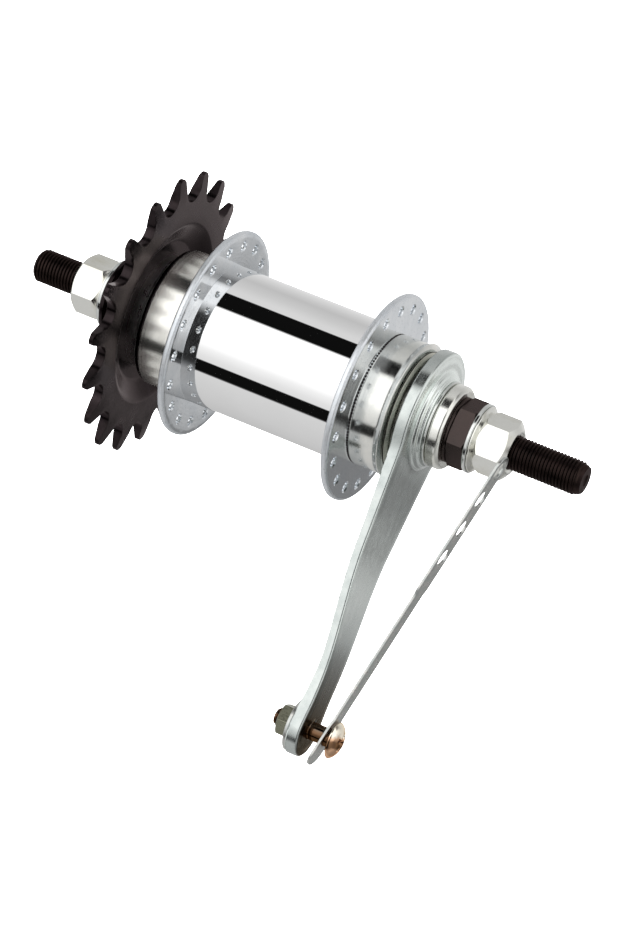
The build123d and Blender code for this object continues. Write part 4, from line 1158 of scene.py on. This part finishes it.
class HUB_PG_colours(bpy.types.PropertyGroup):
    """Colours of the hub's finishes."""

    chrome: shade_of("Chrome", "Barrel", 0.90, 0.90, 0.90)
    flange: shade_of("Flange zinc", "Spoke flanges", 0.80, 0.82, 0.84)
    flange_stain: shade_of("Flange clouds", "Darker clouds in the flanges' zinc", 0.66, 0.70, 0.74)
    brake_drum: shade_of("Brake drum zinc", "Brake drum", 0.84, 0.83, 0.79)
    drum: shade_of("Drum zinc", "Drive drum", 0.96, 0.95, 0.90)
    drum_stain: shade_of("Drum clouds", "Darker clouds in the drive drum's zinc", 0.82, 0.81, 0.75)
    washer: shade_of("Washer zinc", "Round washers", 0.74, 0.75, 0.73)
    # Lighter and darker copies of this colour paint light and shade on the arm's face.
    arm: shade_of("Arm zinc", "Brake arm", 0.57, 0.60, 0.58)
    arm_stain: shade_of("Arm mottle", "Darker mottle on the brake arm", 0.43, 0.47, 0.46)
    strap: shade_of("Strap zinc", "Perforated strap", 0.61, 0.60, 0.57)
    nut: shade_of("Nut plate", "Axle nuts and collar", 0.80, 0.80, 0.76)
    nut_stain: shade_of("Nut stain", "Warm stain on the nuts", 0.62, 0.60, 0.50)
    clip_nut: shade_of("Clip nut", "Nut at the arm's tip", 0.27, 0.27, 0.20)
    cover: shade_of("Dust cover", "Cover in the brake drum's mouth", 0.52, 0.52, 0.45)
    axle: shade_of("Axle black", "Axle", 0.016, 0.012, 0.011)
    axle_worn: shade_of("Axle brown", "Brown cast of the axle", 0.040, 0.026, 0.023)
    lock_nut: shade_of("Lock nut black", "Lock nuts", 0.046, 0.037, 0.035)
    lock_nut_worn: shade_of("Lock nut brown", "Brown cast of the lock nuts", 0.062, 0.047, 0.044)
    # Also on the drive drum's lip and the brake drum's knurled seam, as painted shade.
    sprocket: shade_of("Sprocket black", "Sprocket and its washer", 0.014, 0.011, 0.011)
    sprocket_worn: shade_of("Sprocket brown", "Purple-brown cast of the sprocket", 0.040, 0.031, 0.033)
    screw: shade_of("Screw copper", "Clip screw", 0.80, 0.50, 0.32)
    # Made darker, this colour also paints the shade under the head and the dark reflection across it.
    screw_stain_and_shade: shade_of("Screw stain", "Brown stain on the clip screw", 0.40, 0.20, 0.09)


class HubStep:
    """What the operators share: their place in the scene's undo list."""

    bl_options = {"REGISTER", "UNDO"}


class HUB_OT_axle(HubStep, bpy.types.Operator):
    """Make the threaded axle"""

    bl_idname = "hub.make_axle"
    bl_label = "Axle"

    def execute(self, context):
        axle(context.scene.hub_sizes)
        return {"FINISHED"}


class HUB_OT_shell(HubStep, bpy.types.Operator):
    """Make the chromed barrel and both bearing drums"""

    bl_idname = "hub.make_shell"
    bl_label = "Barrel and drums"

    def execute(self, context):
        barrel(context.scene.hub_sizes)
        drums()
        return {"FINISHED"}


class HUB_OT_flanges(HubStep, bpy.types.Operator):
    """Make both spoke flanges"""

    bl_idname = "hub.make_flanges"
    bl_label = "Spoke flanges"

    def execute(self, context):
        sizes = context.scene.hub_sizes
        flange("drive_spoke_flange", "drive_flange", -FLANGE_BACK, -FLANGE_FACE, np.radians(12.7), sizes)
        flange("brake_spoke_flange", "brake_flange", FLANGE_BACK, FLANGE_FACE, np.radians(2.4), sizes)
        return {"FINISHED"}


class HUB_OT_sprocket(HubStep, bpy.types.Operator):
    """Make the dished sprocket and the turned pieces beside it"""

    bl_idname = "hub.make_sprocket"
    bl_label = "Sprocket side"

    def execute(self, context):
        sprocket(context.scene.hub_sizes)
        drive_fittings()
        return {"FINISHED"}


class HUB_OT_nuts(HubStep, bpy.types.Operator):
    """Make the lock nuts, the axle nuts and their washers"""

    bl_idname = "hub.make_nuts"
    bl_label = "Nuts and washers"

    def execute(self, context):
        lock_nuts(context.scene.hub_sizes)
        axle_nuts(context.scene.hub_sizes)
        return {"FINISHED"}


class HUB_OT_arm(HubStep, bpy.types.Operator):
    """Make the pressed brake arm with its washer and collar"""

    bl_idname = "hub.make_arm"
    bl_label = "Brake arm"

    def execute(self, context):
        brake_arm(context.scene.hub_sizes)
        arm_clamp()
        return {"FINISHED"}


class HUB_OT_clip(HubStep, bpy.types.Operator):
    """Make the clip's screw, nut, washer and leaning strap"""

    bl_idname = "hub.make_clip"
    bl_label = "Frame clip"

    def execute(self, context):
        clip_screw()
        clip_nut_and_washer()
        strap()
        return {"FINISHED"}


class HUB_OT_inside(HubStep, bpy.types.Operator):
    """Finish the solids that stay: the parts inside the shell, the driver and its snap ring"""

    bl_idname = "hub.finish_inside"
    bl_label = "Inner parts"

    def execute(self, context):
        for node, slot in SLOT.items():
            dress(node, finish(slot))
        return {"FINISHED"}


class HUB_OT_studio(HubStep, bpy.types.Operator):
    """Make the floor, the light and the camera"""

    bl_idname = "hub.make_studio"
    bl_label = "Studio"

    def execute(self, context):
        studio_floor()
        studio_light(context.scene.hub_sizes)
        studio_camera()
        return {"FINISHED"}


STEPS = (HUB_OT_inside, HUB_OT_axle, HUB_OT_shell, HUB_OT_flanges, HUB_OT_sprocket, HUB_OT_nuts, HUB_OT_arm,
         HUB_OT_clip, HUB_OT_studio)


class HUB_PT_panel(bpy.types.Panel):
    """The hub's steps, sizes and colours"""

    bl_idname = "HUB_PT_panel"
    bl_label = "Rear hub"
    bl_space_type = "VIEW_3D"
    bl_region_type = "UI"
    bl_category = "Rear hub"

    def draw(self, context):
        for step in STEPS:
            self.layout.operator(step.bl_idname)
        for group in (context.scene.hub_sizes, context.scene.hub_colours):
            box = self.layout.box()
            for name in group.bl_rna.properties.keys():
                if name not in ("rna_type", "name"):
                    box.prop(group, name)


CLASSES = (HUB_PG_sizes, HUB_PG_colours, *STEPS, HUB_PT_panel)


def register():
    for kind in CLASSES:
        bpy.utils.register_class(kind)
    bpy.types.Scene.hub_sizes = bpy.props.PointerProperty(type=HUB_PG_sizes)
    bpy.types.Scene.hub_colours = bpy.props.PointerProperty(type=HUB_PG_colours)


def unregister():
    del bpy.types.Scene.hub_colours
    del bpy.types.Scene.hub_sizes
    for kind in reversed(CLASSES):
        bpy.utils.unregister_class(kind)


def main():
    """Makes the whole hub and its studio."""
    register()
    for step in STEPS:
        group, name = step.bl_idname.split(".")
        getattr(getattr(bpy.ops, group), name)()
    bpy.context.view_layer.update()


if __name__ == "__main__":
    main()
